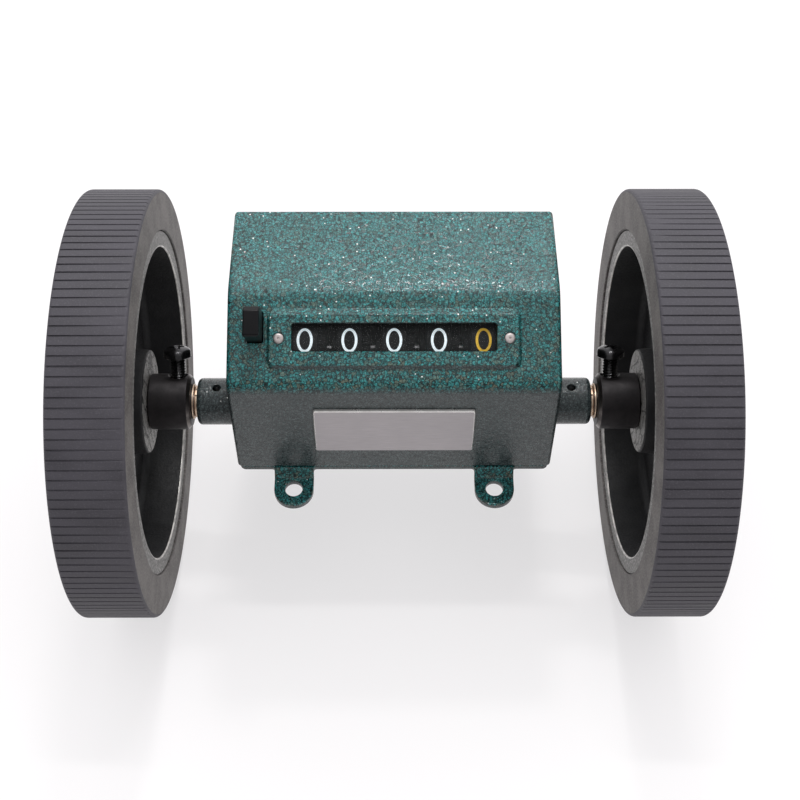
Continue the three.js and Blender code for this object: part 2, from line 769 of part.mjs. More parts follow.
// One upright cheek with a flange at its foot, turned toward the counter's middle.
function buildFrame({ inner, side }) {
  const foot = baseTop + FIT_GAP;
  const outer = inner + side * FRAME_THICKNESS;
  const cheek = roundedOutline([
    [6.2, foot, 0],
    [20, foot, 0],
    [resetAxis.y - 1, resetAxis.z - 6, 1.5],
    [resetAxis.y + 3, resetAxis.z - 2, 1.5],
    [resetAxis.y + 3, resetAxis.z + 2.5, 1.5],
    [drumAxis.y + 4, drumAxis.z + 3.6, 1.5],
    [drumAxis.y - 4, drumAxis.z + 3.6, 1.5],
    [drumAxis.y - 3, drumAxis.z - 6, 1.5],
    [6.2, 4, 1.5],
  ]);
  const upright = plateX(cheek, Math.min(inner, outer), Math.max(inner, outer));
  const lap = 0.2;
  const flangeX = inner - side * (FLANGE_LENGTH / 2 - lap);
  const flangeZ = foot + FRAME_THICKNESS / 2;
  const flangeLength = FLANGE_LENGTH + 2 * lap;
  const flange = block(flangeX, FRAME_SCREW_Y, flangeZ, flangeLength, FLANGE_WIDTH, FRAME_THICKNESS);
  const screwX = frameScrewX({ inner, side });
  const screwHole = barZ(BASE_SCREW_RADIUS + FIT_GAP, foot - 1, foot + 3, screwX, FRAME_SCREW_Y);
  const frame = cut(joined(upright, flange), screwHole);
  const rodHole = ROD_RADIUS + FIT_GAP;
  return [drumAxis, rodAxis, resetAxis].reduce((part, axis) => bored(part, rodHole, axis), frame);
}

const leftFrameOuter = framePlaces.left.inner - FRAME_THICKNESS;
const rightFrameOuter = framePlaces.right.inner + FRAME_THICKNESS;
const rodEnd = rightFrameOuter + 1.2;
const CLIP_THICKNESS = 0.6;
const CLIP_RADIUS = 2.4;
const SPACER_RADIUS = 1.85;

function rodAlong(axis, x0, x1) {
  return barX(ROD_RADIUS, x0, x1, axis.y, axis.z, SMALL_STEPS);
}

function clipAt(axis, x) {
  return tubeX(ROD_RADIUS + 0.05, CLIP_RADIUS, x, x + CLIP_THICKNESS, axis.y, axis.z, SMALL_STEPS);
}

const leverOuter = KEY_STATION - LEVER_THICKNESS / 2;
const rodStart = leftFrameOuter - 1.2;
const faceHalf = DRUM_FACE_WIDTH / 2;
const INPUT_GEAR_START = drumStation(DRUM_COUNT) + faceHalf + 0.35;
const INPUT_GEAR_WIDTH = 2.6;
const inputGearEnd = INPUT_GEAR_START + INPUT_GEAR_WIDTH;

place('counter_frame_left', buildFrame(framePlaces.left), aluminium);
place('counter_frame_right', buildFrame(framePlaces.right), aluminium);
Object.entries(framePlaces).forEach(([side, frame]) => {
  const screw = countersunkScrew(6).translate([frameScrewX(frame), FRAME_SCREW_Y, screwFaceZ]);
  place(`frame_screw_${side}`, screw, brightSteel);
});
place('drum_shaft', rodAlong(drumAxis, rodStart, rodEnd), brightSteel);
place('transfer_rod', rodAlong(rodAxis, rodStart, rodEnd), brightSteel);
place('reset_rod', rodAlong(resetAxis, leverOuter - 1.2, rodEnd), brightSteel);
place('drum_shaft_clip_left', clipAt(drumAxis, leftFrameOuter - 0.8), brightSteel);
place('drum_shaft_clip_right', clipAt(drumAxis, rightFrameOuter + 0.2), brightSteel);
place('transfer_rod_clip_left', clipAt(rodAxis, leftFrameOuter - 0.8), brightSteel);
place('transfer_rod_clip_right', clipAt(rodAxis, rightFrameOuter + 0.2), brightSteel);
place('reset_rod_clip_left', clipAt(resetAxis, leverOuter - 0.8), brightSteel);
place('reset_rod_clip_right', clipAt(resetAxis, rightFrameOuter + 0.2), brightSteel);

function spacer(x0, x1) {
  return tubeX(ROD_RADIUS + FIT_GAP, SPACER_RADIUS, x0, x1, drumAxis.y, drumAxis.z, SMALL_STEPS);
}

const firstDrumFace = drumStation(1) - faceHalf;
place('drum_spacer_left', spacer(framePlaces.left.inner + 0.1, firstDrumFace - 0.2), brass);
place('drum_spacer_right', spacer(inputGearEnd + 0.4, framePlaces.right.inner - 0.1), brass);

// ---------------------------------------------------------------- drums, pinions and idler

const CARRY_GEAR_WIDTH = 1.9;
const CARRY_DISC_WIDTH = 1.5;
const CARRY_DISC_RADIUS = 6.3;
const INPUT_HUB_RADIUS = 3;
const DRUM_STEPS = 30;
const rodBore = ROD_RADIUS + RUNNING_GAP;

// A digit drum: its rim, the gear that its carry pinion turns on its right, and the disc that
// turns the next pinion on its left. The disc's teeth stop short of the pinion's.
function buildDrum(index) {
  const x = drumStation(index);
  const edge = 0.3;
  let drum = turnedX([
    [x - faceHalf, 0],
    [x - faceHalf, DRUM_RADIUS - edge],
    [x - faceHalf + edge, DRUM_RADIUS],
    [x + faceHalf - edge, DRUM_RADIUS],
    [x + faceHalf, DRUM_RADIUS - edge],
    [x + faceHalf, 0],
  ], DRUM_STEPS, drumAxis.y, drumAxis.z);
  if (index < DRUM_COUNT) {
    const start = x + faceHalf - 0.5;
    const phase = rodToDrumAngle + Math.PI + Math.PI / CARRY_TEETH;
    const end = x + faceHalf + CARRY_GEAR_WIDTH;
    drum = joined(drum, gearX(CARRY_TEETH, carryModule, phase, start, end, drumAxis));
  } else {
    const hubEnd = inputGearEnd + 0.2;
    drum = joined(drum, barX(INPUT_HUB_RADIUS, x, hubEnd, drumAxis.y, drumAxis.z, SMALL_STEPS));
  }
  if (index > 1) {
    const end = x - faceHalf + 0.5;
    const start = x - faceHalf - CARRY_DISC_WIDTH;
    const disc = barX(CARRY_DISC_RADIUS, start, end, drumAxis.y, drumAxis.z);
    const tooth = block((start + end) / 2, drumAxis.y, drumAxis.z + CARRY_DISC_RADIUS, end - start, 1, 2);
    drum = joined(drum, disc, tooth);
  }
  return bored(drum, rodBore, drumAxis);
}

function buildPinion(index) {
  const start = drumStation(index) + faceHalf + 0.25;
  const end = drumStation(index + 1) - faceHalf - 0.25;
  return bored(gearX(PINION_TEETH, carryModule, rodToDrumAngle, start, end, rodAxis), rodBore, rodAxis);
}

function buildInputGear() {
  const phase = rodToDrumAngle + Math.PI + Math.PI / DRUM_INPUT_TEETH;
  const gear = gearX(DRUM_INPUT_TEETH, GEAR_MODULE, phase, INPUT_GEAR_START, inputGearEnd, drumAxis);
  return bored(gear, INPUT_HUB_RADIUS + FIT_GAP, drumAxis);
}

function buildIdler() {
  const smallStart = INPUT_GEAR_START - 0.1;
  const largeStart = GEAR_START + 0.3;
  const largeEnd = GEAR_FACE_END - 0.3;
  const largePhase = shaftToRodAngle + Math.PI + Math.PI / IDLER_LARGE_TEETH;
  const small = gearX(IDLER_SMALL_TEETH, GEAR_MODULE, rodToDrumAngle, smallStart, largeStart + 0.5, rodAxis);
  const large = gearX(IDLER_LARGE_TEETH, GEAR_MODULE, largePhase, largeStart, largeEnd, rodAxis);
  return bored(joined(small, large), rodBore, rodAxis);
}

for (let index = 1; index <= DRUM_COUNT; index += 1) {
  place(`digit_drum_${index}`, buildDrum(index), blackPlastic);
}
for (let index = 1; index < DRUM_COUNT; index += 1) {
  place(`transfer_pinion_${index}`, buildPinion(index), whitePlastic);
}
place('drum_input_gear', buildInputGear(), brass);
place('idler_gear', buildIdler(), whitePlastic);

// ---------------------------------------------------------------- reset lever, key and spring

const YOKE_BAR = { y: resetAxis.y, z: resetAxis.z + 6, size: 2.4 };
const YOKE_RIGHT_ARM = 31;
const YOKE_RIGHT_THICKNESS = 0.9;
const ARM_WIDTH = 3.4;
const FINGER_WIDTH = 1.2;
const FINGER_REACH = 6.4;
const STEM_WIDTH = 2.6;
const SPRING_STATION = KEY_STATION + 3;

// The point of the key's own line of travel that is nearest to the reset rod.
function leverToe() {
  const surface = facePoint(KEY_RISE, 0);
  const back = (resetAxis.y - surface.y) * Math.sin(faceTilt);
  const down = (surface.z - resetAxis.z) * Math.cos(faceTilt);
  const depth = back + down;
  return { depth, ...facePoint(KEY_RISE, -depth) };
}

// The reset rod's distance from the key's line: the lever turns by travel over this arm.
const toe = leverToe();
const springLug = { ...facePoint(KEY_RISE + 6, -toe.depth), radius: 0.8 };

// A strip of the lever between two points, its end rounded off about each of them.
function strip(from, to, width, x0, x1) {
  const length = Math.hypot(to.y - from.y, to.z - from.z);
  const angle = THREE.MathUtils.radToDeg(Math.atan2(to.z - from.z, to.y - from.y));
  const half = width / 2;
  const straight = block((x0 + x1) / 2, length / 2, 0, x1 - x0, length, width);
  const ends = [barX(half, x0, x1, 0, 0, SMALL_STEPS), barX(half, x0, x1, length, 0, SMALL_STEPS)];
  return joined(straight, ...ends).rotate([angle, 0, 0]).translate([0, from.y, from.z]);
}

// The yoke behind the drums: a toe under the key's stem and one finger for each drum.
function buildResetLever() {
  const leverInner = leverOuter + LEVER_THICKNESS;
  const rightEnd = YOKE_RIGHT_ARM + YOKE_RIGHT_THICKNESS;
  const barLength = rightEnd - leverOuter;
  const barMiddle = (rightEnd + leverOuter) / 2;
  let lever = joined(
    strip(resetAxis, toe, ARM_WIDTH, leverOuter, leverInner),
    strip(resetAxis, YOKE_BAR, ARM_WIDTH, leverOuter, leverInner),
    strip(resetAxis, YOKE_BAR, ARM_WIDTH, YOKE_RIGHT_ARM, rightEnd),
    block(barMiddle, YOKE_BAR.y, YOKE_BAR.z, barLength, YOKE_BAR.size, YOKE_BAR.size),
    barX(springLug.radius, leverInner - 0.5, SPRING_STATION + 0.8, springLug.y, springLug.z, SMALL_STEPS),
  );
  for (let index = 1; index <= DRUM_COUNT; index += 1) {
    const x = drumStation(index) - faceHalf - 2.1;
    const y = YOKE_BAR.y - FINGER_REACH / 2;
    lever = joined(lever, block(x, y, YOKE_BAR.z, FINGER_WIDTH, FINGER_REACH, 1.6));
  }
  return bored(lever, rodBore, resetAxis);
}

// The key: a bevelled block that stands proud of the face, on a flat stem with a round toe.
function buildResetKey() {
  const halfWidth = KEY_WIDTH / 2;
  const halfLength = KEY_LENGTH / 2;
  const sideBevel = 0.4;
  const crown = [
    [-halfLength, -KEY_DEPTH, 0],
    [halfLength, -KEY_DEPTH, 0],
    [halfLength, KEY_HEIGHT - 1.3, 0],
    [halfLength - 0.5, KEY_HEIGHT - 0.5, 0],
    [halfLength - 1.3, KEY_HEIGHT, 0],
    [-halfLength + 0.6, KEY_HEIGHT, 0],
    [-halfLength, KEY_HEIGHT - 0.6, 0],
  ];
  const edge = {
    bevelEnabled: true,
    bevelSize: sideBevel,
    bevelThickness: sideBevel,
    bevelOffset: -sideBevel,
    bevelSegments: 1,
  };
  const body = plateX(roundedOutline(crown), -halfWidth + sideBevel, halfWidth - sideBevel, edge);
  const tipRadius = STEM_WIDTH / 2;
  const tip = -toe.depth + ARM_WIDTH / 2 + FIT_GAP + tipRadius;
  const stemStart = -KEY_DEPTH + 0.5;
  const half = LEVER_THICKNESS / 2;
  const stem = block(0, 0, (stemStart + tip) / 2, LEVER_THICKNESS, STEM_WIDTH, stemStart - tip);
  const round = barX(tipRadius, -half, half, 0, tip, SMALL_STEPS);
  const key = joined(body, stem, round);
  return onFace(key.translate([KEY_STATION, KEY_RISE - windowRise, 0]));
}

// The return spring's wire: straight at both ends, wound between them, drawn along Z.
class SpringPath extends THREE.Curve {
  constructor(length) {
    super();
    Object.assign(this, { length, turns: 8, coil: 1.1, tail: 0.08 });
  }

  getPoint(t, target = new THREE.Vector3()) {
    const ramp = Math.min(1, Math.min(t, 1 - t) / this.tail);
    const angle = 2 * Math.PI * this.turns * t;
    return target.set(
      this.coil * ramp * Math.cos(angle),
      this.coil * ramp * Math.sin(angle),
      -this.length * t,
    );
  }
}

// The spring hangs from its peg, parallel to the key's travel, and pulls the lever's lug.
function buildSpring() {
  const wireRadius = 0.3;
  const wireSides = 5;
  const corners = [];
  for (let k = 0; k < wireSides; k += 1) {
    const angle = 2 * Math.PI * k / wireSides;
    corners.push(new THREE.Vector2(wireRadius * Math.cos(angle), wireRadius * Math.sin(angle)));
  }
  const wire = new THREE.Shape(corners);
  const span = Math.hypot(springLug.y - SPRING_PEG.y, springLug.z - SPRING_PEG.z);
  const topGap = SPRING_PEG.radius + 0.4;
  const path = new SpringPath(span - topGap - springLug.radius - 0.4);
  const settings = { extrudePath: path, steps: 84, bevelEnabled: false };
  const spring = solid(indexed(new THREE.ExtrudeGeometry(wire, settings)));
  return spring
    .translate([0, 0, -topGap])
    .rotate([THREE.MathUtils.radToDeg(faceTilt), 0, 0])
    .translate([SPRING_STATION, SPRING_PEG.y, SPRING_PEG.z]);
}

function buildSpringPeg() {
  return barX(
    SPRING_PEG.radius, -innerWall - 0.8, SPRING_STATION + 1.5, SPRING_PEG.y, SPRING_PEG.z, SMALL_STEPS,
  );
}

place('reset_lever', buildResetLever(), blackSteel);
place('reset_key', buildResetKey(), blackPlastic);
place('reset_spring', buildSpring(), brightSteel);
place('spring_peg', buildSpringPeg(), brightSteel);

export default counter;
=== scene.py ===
"""Looks for the roller length counter: a hammertone housing with a five-figure drum counter,
between two rubber-tyred measuring wheels. Shapes are worked out in millimetres, in the frame's
own axes, and turned into metres when they become objects."""

import math
import random

import bmesh
import bpy
from mathutils import Matrix, Vector


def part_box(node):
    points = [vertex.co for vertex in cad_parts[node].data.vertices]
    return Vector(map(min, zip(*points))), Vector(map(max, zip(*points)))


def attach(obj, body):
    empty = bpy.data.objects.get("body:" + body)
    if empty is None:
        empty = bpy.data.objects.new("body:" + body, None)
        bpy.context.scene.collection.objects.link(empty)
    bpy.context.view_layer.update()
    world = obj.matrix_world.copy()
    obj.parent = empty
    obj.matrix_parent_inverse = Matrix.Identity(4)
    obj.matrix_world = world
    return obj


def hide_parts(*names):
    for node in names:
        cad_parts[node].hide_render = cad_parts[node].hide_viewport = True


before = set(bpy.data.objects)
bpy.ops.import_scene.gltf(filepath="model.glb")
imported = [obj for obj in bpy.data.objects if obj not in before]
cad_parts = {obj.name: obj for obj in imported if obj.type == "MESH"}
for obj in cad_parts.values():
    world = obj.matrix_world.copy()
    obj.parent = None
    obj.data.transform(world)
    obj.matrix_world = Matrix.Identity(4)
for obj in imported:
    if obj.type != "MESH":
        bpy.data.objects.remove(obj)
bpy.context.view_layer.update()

MM = 0.001
SHARP_ANGLE = math.radians(34)
SCENE = bpy.context.scene


# ---- sizes from the frame

def box(node):
    """The lowest and highest corners of a CAD node, in millimetres."""
    low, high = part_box(node)
    return low / MM, high / MM


SHELL_HIGH = box("housing_shell")[1]
BASE_LOW, BASE_HIGH = box("base_plate")
TYRE_LOW, TYRE_HIGH = box("tyre_right")
HUB_LOW, HUB_HIGH = box("wheel_hub_right")
COLLAR_LOW, COLLAR_HIGH = box("collar_right")
SCREW_LOW, SCREW_HIGH = box("collar_screw_right")
PLATE_LOW, PLATE_HIGH = box("nameplate")
KEY_LOW, KEY_HIGH = box("reset_key")

# The cover: a prism along X, open below, with one sloping face.
EDGE_GAP = 0.1
COVER_HALF_WIDTH = BASE_HIGH.x + 0.4
COVER_FRONT = PLATE_HIGH.y + EDGE_GAP
COVER_BACK = SHELL_HIGH.y
COVER_BOTTOM = BASE_HIGH.z + EDGE_GAP
COVER_TOP = SHELL_HIGH.z
FACE_FOOT_Z = 19.5
FACE_HEAD_Y = 10.8
# On the bosses, from here outward, the enamel takes its nearly black colour all over.
BOSS_DARK_FROM = 39.9
BOSS_DARK_AT = 40.2
WALL = 2.2
COVER_EDGE = 1.0
HEAD_BEND = 9.5
FOOT_BEND = 4.5
WINDOW_RISE = 11.8
PLATEAU_SIZE = (60.6, 15.0)
PLATEAU_HEIGHT = 1.2
PLATEAU_SIDE_SLOPE = 0.8
PLATEAU_UPPER_SLOPE = 1.9
PLATEAU_LOWER_SLOPE = 1.2
WINDOW_SIZE = (48.8, 6.8)
WINDOW_SHIFT = 0.3
PANE_POCKET_SIZE = (59.2, 11.2)
RIVET_STATION = 27.4
RIVET_RADIUS = 1.25
BOSS_RADIUS = 5.85
BOSS_END = SHELL_HIGH.x
OIL_HOLE_STATION = 44.0
OIL_HOLE_RADIUS = 1.0

# The key, in the sloping face's own frame.
KEY_STATION = (KEY_LOW.x + KEY_HIGH.x) / 2
KEY_WIDTH = KEY_HIGH.x - KEY_LOW.x
KEY_RISE = 14.7
KEY_LENGTH = 7.2
KEY_HEIGHT = 9.6

SHAFT_RADIUS = box("main_shaft")[1].z
BUSH_RADIUS = box("bush_right")[1].z
WHEEL_RADIUS = TYRE_HIGH.z
TYRE_SEAT = HUB_HIGH.z
RIM_INNER = 38.8
WEB_FACES = (69.0, 72.0)
HUB_BOSS_RADIUS = 13.0
HUB_BOSS_FACE = 61.0
GROOVES = 148

COLLAR_RADIUS = 7.0
SPIGOT_RADIUS = 5.0
SCREW_STATION = (SCREW_LOW.x + SCREW_HIGH.x) / 2
SCREW_LEAN = 36
SCREW_UNDER_HEAD = 11.7
SCREW_HEAD_RADIUS = 3.4
SCREW_HEAD_HEIGHT = 2.6

DRUM_COUNT = 5
DRUM_PITCH = 10.67
DRUM_RADIUS = 11.3
DRUM_FACE = 6.1
DRUM_DEPTH = 13.0
FIGURE_WIDTH = 3.85
FIGURE_HEIGHT = 5.9
FIGURE_WEIGHT = 0.62
FIGURE_PROUD = 0.05
FIGURE_ROOT = 0.1
CARRY_TEETH = 20
PINION_TEETH = 8
PINION_DISTANCE = 13.0

face_tilt = math.atan2(COVER_TOP - FACE_FOOT_Z, FACE_HEAD_Y - COVER_FRONT)


def face_point(rise, height):
    """A point of the sloping face's own frame, as (y, z)."""
    y = COVER_FRONT + rise * math.cos(face_tilt) - height * math.sin(face_tilt)
    z = FACE_FOOT_Z + rise * math.sin(face_tilt) + height * math.cos(face_tilt)
    return y, z


DRUM_AXIS = face_point(WINDOW_RISE, -DRUM_DEPTH)


def laid(solid, across=0, up=0):
    """Lays a solid, drawn flat (X across, Y up the slope, Z off it), on the sloping face, at a
    distance from the window's middle."""
    y, z = face_point(WINDOW_RISE, 0)
    face = Matrix.Translation((0, y, z)) @ Matrix.Rotation(face_tilt, 4, "X")
    solid.transform(face @ Matrix.Translation((across, up, 0)))
    return solid


# ---- solids

def arc(centre, radii, start, sweep, steps):
    """Points along an elliptical arc; angles in degrees."""
    points = []
    for k in range(steps + 1):
        angle = math.radians(start + sweep * k / steps)
        points.append((centre[0] + radii[0] * math.cos(angle), centre[1] + radii[1] * math.sin(angle)))
    return points


def filleted(corners, steps=5):
    """An outline through (u, v, radius) corners, each rounded by a true arc of that radius."""
    outline = []
    for i, (u, v, radius) in enumerate(corners):
        corner = Vector((u, v))
        if radius <= 0:
            outline.append((u, v))
            continue
        before = (Vector(corners[i - 1][:2]) - corner).normalized()
        after = (Vector(corners[(i + 1) % len(corners)][:2]) - corner).normalized()
        half = before.angle(after) / 2
        centre = corner + (before + after).normalized() * radius / math.sin(half)
        start = corner + before * radius / math.tan(half) - centre
        end = corner + after * radius / math.tan(half) - centre
        first = math.atan2(start.y, start.x)
        turn = math.atan2(end.y, end.x) - first
        turn = (turn + math.pi) % (2 * math.pi) - math.pi
        radii = (radius, radius)
        outline += arc(centre, radii, math.degrees(first), math.degrees(turn), steps)
    return outline


def rectangle(width, height, radius, steps=5):
    u, v = width / 2, height / 2
    corners = [(-u, -v, radius), (u, -v, radius), (u, v, radius), (-u, v, radius)]
    return filleted(corners, steps)


def inset(corners, distance):
    """Corners of an anticlockwise outline, moved inward."""
    moved = []
    for i, (u, v, radius) in enumerate(corners):
        corner = Vector((u, v))
        along = (corner - Vector(corners[i - 1][:2])).normalized()
        onward = (Vector(corners[(i + 1) % len(corners)][:2]) - corner).normalized()
        first = Vector((-along.y, along.x))
        second = Vector((-onward.y, onward.x))
        shift = (first + second) * distance / (1 + first.dot(second))
        moved.append((u + shift.x, v + shift.y, max(radius - distance, 0.3)))
    return moved


def tidy(solid):
    bmesh.ops.remove_doubles(solid, verts=solid.verts, dist=1e-4)
    bmesh.ops.dissolve_degenerate(solid, edges=solid.edges, dist=1e-5)
    bmesh.ops.recalc_face_normals(solid, faces=solid.faces)
    return solid


def loft(rings):
    """A solid through rings of points, closed by a flat face at each end."""
    solid = bmesh.new()
    loops = [[solid.verts.new(point) for point in ring] for ring in rings]
    count = len(loops[0])
    for low, high in zip(loops, loops[1:]):
        for k in range(count):
            after = (k + 1) % count
            solid.faces.new((low[k], low[after], high[after], high[k]))
    solid.faces.new(loops[0])
    solid.faces.new(loops[-1])
    return tidy(solid)


def lathe(profile, steps=96, centre=(0, 0), radius_at=None):
    """A solid of revolution about X from (x, radius) points. radius_at(step, x, radius) may cut
    into it."""
    solid = bmesh.new()
    rings = []
    for s in range(steps):
        angle = 2 * math.pi * s / steps
        ring = []
        for x, radius in profile:
            if radius_at:
                radius = radius_at(s, x, radius)
            y = centre[0] + radius * math.cos(angle)
            z = centre[1] + radius * math.sin(angle)
            ring.append(solid.verts.new((x, y, z)))
        rings.append(ring)
    count = len(profile)
    for s in range(steps):
        ring = rings[s]
        beside = rings[(s + 1) % steps]
        for k in range(count):
            after = (k + 1) % count
            if profile[k][1] > 0 or profile[after][1] > 0:
                solid.faces.new((ring[k], ring[after], beside[after], beside[k]))
    return tidy(solid)


def faced(solid, surface):
    """Gives each face the material whose place in the piece's list surface(its middle) returns."""
    for face in solid.faces:
        face.material_index = int(surface(face.calc_center_median()))
    return solid


def extruded(corners, half, edge, edge_steps, steps):
    """An outline of (y, z, radius) corners, made solid along X, with quarter-round edges."""
    stations = []
    for k in range(edge_steps + 1):
        turn = math.pi / 2 * k / edge_steps
        stations.append((half - edge * (1 - math.sin(turn)), edge * (1 - math.cos(turn))))
    stations = [(-x, inward) for x, inward in reversed(stations)] + stations
    rings = []
    for x, inward in stations:
        rings.append([(x, y, z) for y, z in filleted(inset(corners, inward), steps)])
    return loft(rings)


def stacked(layers, steps):
    """A solid through level rectangles: (height, width, depth, corner radius, shift along Y)."""
    rings = []
    for height, width, depth, radius, shift in layers:
        rings.append([(u, v + shift, height) for u, v in rectangle(width, depth, radius, steps)])
    return loft(rings)


def upright(solid):
    """Turns a solid made along X so that it stands along Z."""
    solid.transform(Matrix.Rotation(-math.pi / 2, 4, "Y"))
    return solid


def prism(outline, low, high):
    """A flat outline in X and Y, made solid between two heights."""
    return loft([[(u, v, z) for u, v in outline] for z in (low, high)])


def moved(solid, x=0, y=0, z=0):
    solid.transform(Matrix.Translation((x, y, z)))
    return solid


def mesh_of(solid, name="scratch"):
    """A mesh of the solid, which is freed."""
    mesh = bpy.data.meshes.new(name)
    solid.to_mesh(mesh)
    solid.free()
    return mesh


def linked(data, name="scratch"):
    """An object in the scene for a mesh, curve, lamp or camera."""
    made = bpy.data.objects.new(name, data)
    SCENE.collection.objects.link(made)
    return made


def evaluated(scratch):
    """The solid that an object's modifiers or curve settings make; the object is removed."""
    bpy.context.view_layer.update()
    graph = bpy.context.evaluated_depsgraph_get()
    mesh = bpy.data.meshes.new_from_object(scratch.evaluated_get(graph))
    solid = bmesh.new()
    solid.from_mesh(mesh)
    bpy.data.meshes.remove(mesh)
    bpy.data.objects.remove(scratch)
    return solid


def combined(base, steps):
    """A solid changed by others, given in order as (operation, solid)."""
    scratch = linked(mesh_of(base))
    tools = []
    for operation, solid in steps:
        tool = linked(mesh_of(solid))
        tools.append(tool)
        change = scratch.modifiers.new("change", "BOOLEAN")
        change.operation = operation
        change.solver = "EXACT"
        change.object = tool
    result = evaluated(scratch)
    for tool in tools:
        bpy.data.objects.remove(tool)
    bmesh.ops.dissolve_degenerate(result, edges=result.edges, dist=1e-4)
    return result


def cut(base, *tools):
    return combined(base, [("DIFFERENCE", tool) for tool in tools])


def sheet_metal(outlines, thickness, edge):
    """A flat sheet of outlines in X and Y, the first the border and the others holes, with
    rounded edges."""
    curve = bpy.data.curves.new("scratch", "CURVE")
    curve.dimensions = "2D"
    curve.fill_mode = "BOTH"
    curve.extrude = thickness / 2 - edge
    curve.bevel_depth = edge
    curve.bevel_resolution = 2
    curve.offset = -edge
    for outline in outlines:
        spline = curve.splines.new("POLY")
        spline.points.add(len(outline) - 1)
        for point, (u, v) in zip(spline.points, outline):
            point.co = (u, v, 0, 1)
        spline.use_cyclic_u = True
    return tidy(evaluated(linked(curve)))


def piece(name, solid, materials, body, nodes):
    """Makes an object of a solid, in metres, that rides on a body and stands for CAD nodes."""
    solid.transform(Matrix.Scale(MM, 4))
    mesh = mesh_of(solid, name)
    for material in materials:
        mesh.materials.append(material)
    mesh.shade_smooth()
    mesh.set_sharp_from_angle(angle=SHARP_ANGLE)
    made = linked(mesh, name)
    weighting = made.modifiers.new("weighted", "WEIGHTED_NORMAL")
    weighting.keep_sharp = True
    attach(made, body)
    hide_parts(*nodes)


def both_sides(name, build, materials, body, lean=0):
    """The right-hand piece, and the left one turned half round about Z. Both may then lean back
    about the shaft, by an angle in degrees."""
    for side, turn in (("right", 0), ("left", math.pi)):
        solid = build()
        solid.transform(Matrix.Rotation(math.radians(-lean), 4, "X") @ Matrix.Rotation(turn, 4, "Z"))
        node = f"{name}_{side}"
        piece(f"{side}_{name}", solid, materials, body, [node])


# ---- materials

class Nodes:
    """A node tree, built up one node at a time."""

    def __init__(self, owner):
        owner.use_nodes = True
        self.tree = owner.node_tree

    def node(self, kind, inputs=None, **settings):
        made = self.tree.nodes.new("ShaderNode" + kind)
        for key, value in settings.items():
            setattr(made, key, value)
        for key, value in (inputs or {}).items():
            self.feed(made.inputs[key], value)
        return made

    def feed(self, socket, value):
        if isinstance(value, bpy.types.NodeSocket):
            self.tree.links.new(value, socket)
        elif isinstance(value, tuple) and len(value) == 3 and socket.type == "RGBA":
            socket.default_value = (*value, 1)
        else:
            socket.default_value = value


class Finish(Nodes):
    """A procedural material around one Principled shader. Sizes are in millimetres."""

    def __init__(self, name):
        self.material = bpy.data.materials.new(name)
        super().__init__(self.material)
        self.shader = self.tree.nodes["Principled BSDF"]

    def place(self, stretch=(1, 1, 1)):
        """Coordinates in the frame's own metres, stretched along the axes."""
        coordinates = self.node("TexCoord").outputs["Object"]
        mapping = self.node("Mapping", {"Vector": coordinates, "Scale": stretch})
        return mapping.outputs["Vector"]

    def noise(self, size, detail=3.0, roughness=0.5, stretch=(1, 1, 1), place=None, output="Fac"):
        inputs = {"Vector": place or self.place(stretch), "Scale": 1 / (size * MM),
                  "Detail": detail, "Roughness": roughness}
        return self.node("TexNoise", inputs).outputs[output]

    def cells(self, place, size, feature="F1", output="Distance"):
        inputs = {"Vector": place, "Scale": 1 / (size * MM)}
        return self.node("TexVoronoi", inputs, feature=feature).outputs[output]

    def wander(self, place, size, amount):
        """Coordinates pushed about by noise, by up to the amount."""
        push = self.noise(size, 2.0, place=place, output="Color")
        centred = self.node("VectorMath", {0: push, 1: (0.5, 0.5, 0.5)}, operation="SUBTRACT")
        scaled = self.node("VectorMath", {0: centred.outputs[0], "Scale": 2 * amount * MM},
                           operation="SCALE")
        total = self.node("VectorMath", {0: place, 1: scaled.outputs[0]}, operation="ADD")
        return total.outputs[0]

    def fade(self, value, low=0.3, high=0.7, to_low=0.0, to_high=1.0):
        inputs = {"Value": value, "From Min": low, "From Max": high, "To Min": to_low, "To Max": to_high}
        made = self.node("MapRange", inputs, interpolation_type="SMOOTHSTEP")
        return made.outputs["Result"]

    def sum(self, first, second):
        return self.node("Math", {0: first, 1: second}, operation="ADD").outputs[0]

    def product(self, first, second):
        return self.node("Math", {0: first, 1: second}, operation="MULTIPLY").outputs[0]

    def along(self, axis, vector):
        """A vector's X, Y or Z, or a colour's red, green or blue."""
        return self.node("SeparateXYZ", {0: vector}).outputs[axis]

    def blend(self, share, first, second):
        mix = self.node("Mix", data_type="RGBA")
        self.feed(mix.inputs["Factor"], share)
        self.feed(mix.inputs[6], first)
        self.feed(mix.inputs[7], second)
        return mix.outputs[2]

    def relief(self, height, depth):
        """Raises the surface by a height of 0 to 1 times the depth."""
        bump = self.node("Bump", {"Height": height, "Distance": depth * MM, "Strength": 1.0})
        previous = self.shader.inputs["Normal"]
        if previous.is_linked:
            self.feed(bump.inputs["Normal"], previous.links[0].from_socket)
        self.feed(previous, bump.outputs["Normal"])

    def set(self, **values):
        names = {
            "colour": "Base Color",
            "roughness": "Roughness",
            "metal": "Metallic",
            "specular": "Specular IOR Level",
            "alpha": "Alpha",
            "glow": "Emission Color",
            "glow_strength": "Emission Strength",
        }
        for key, value in values.items():
            self.feed(self.shader.inputs[names[key]], value)
        return self.material


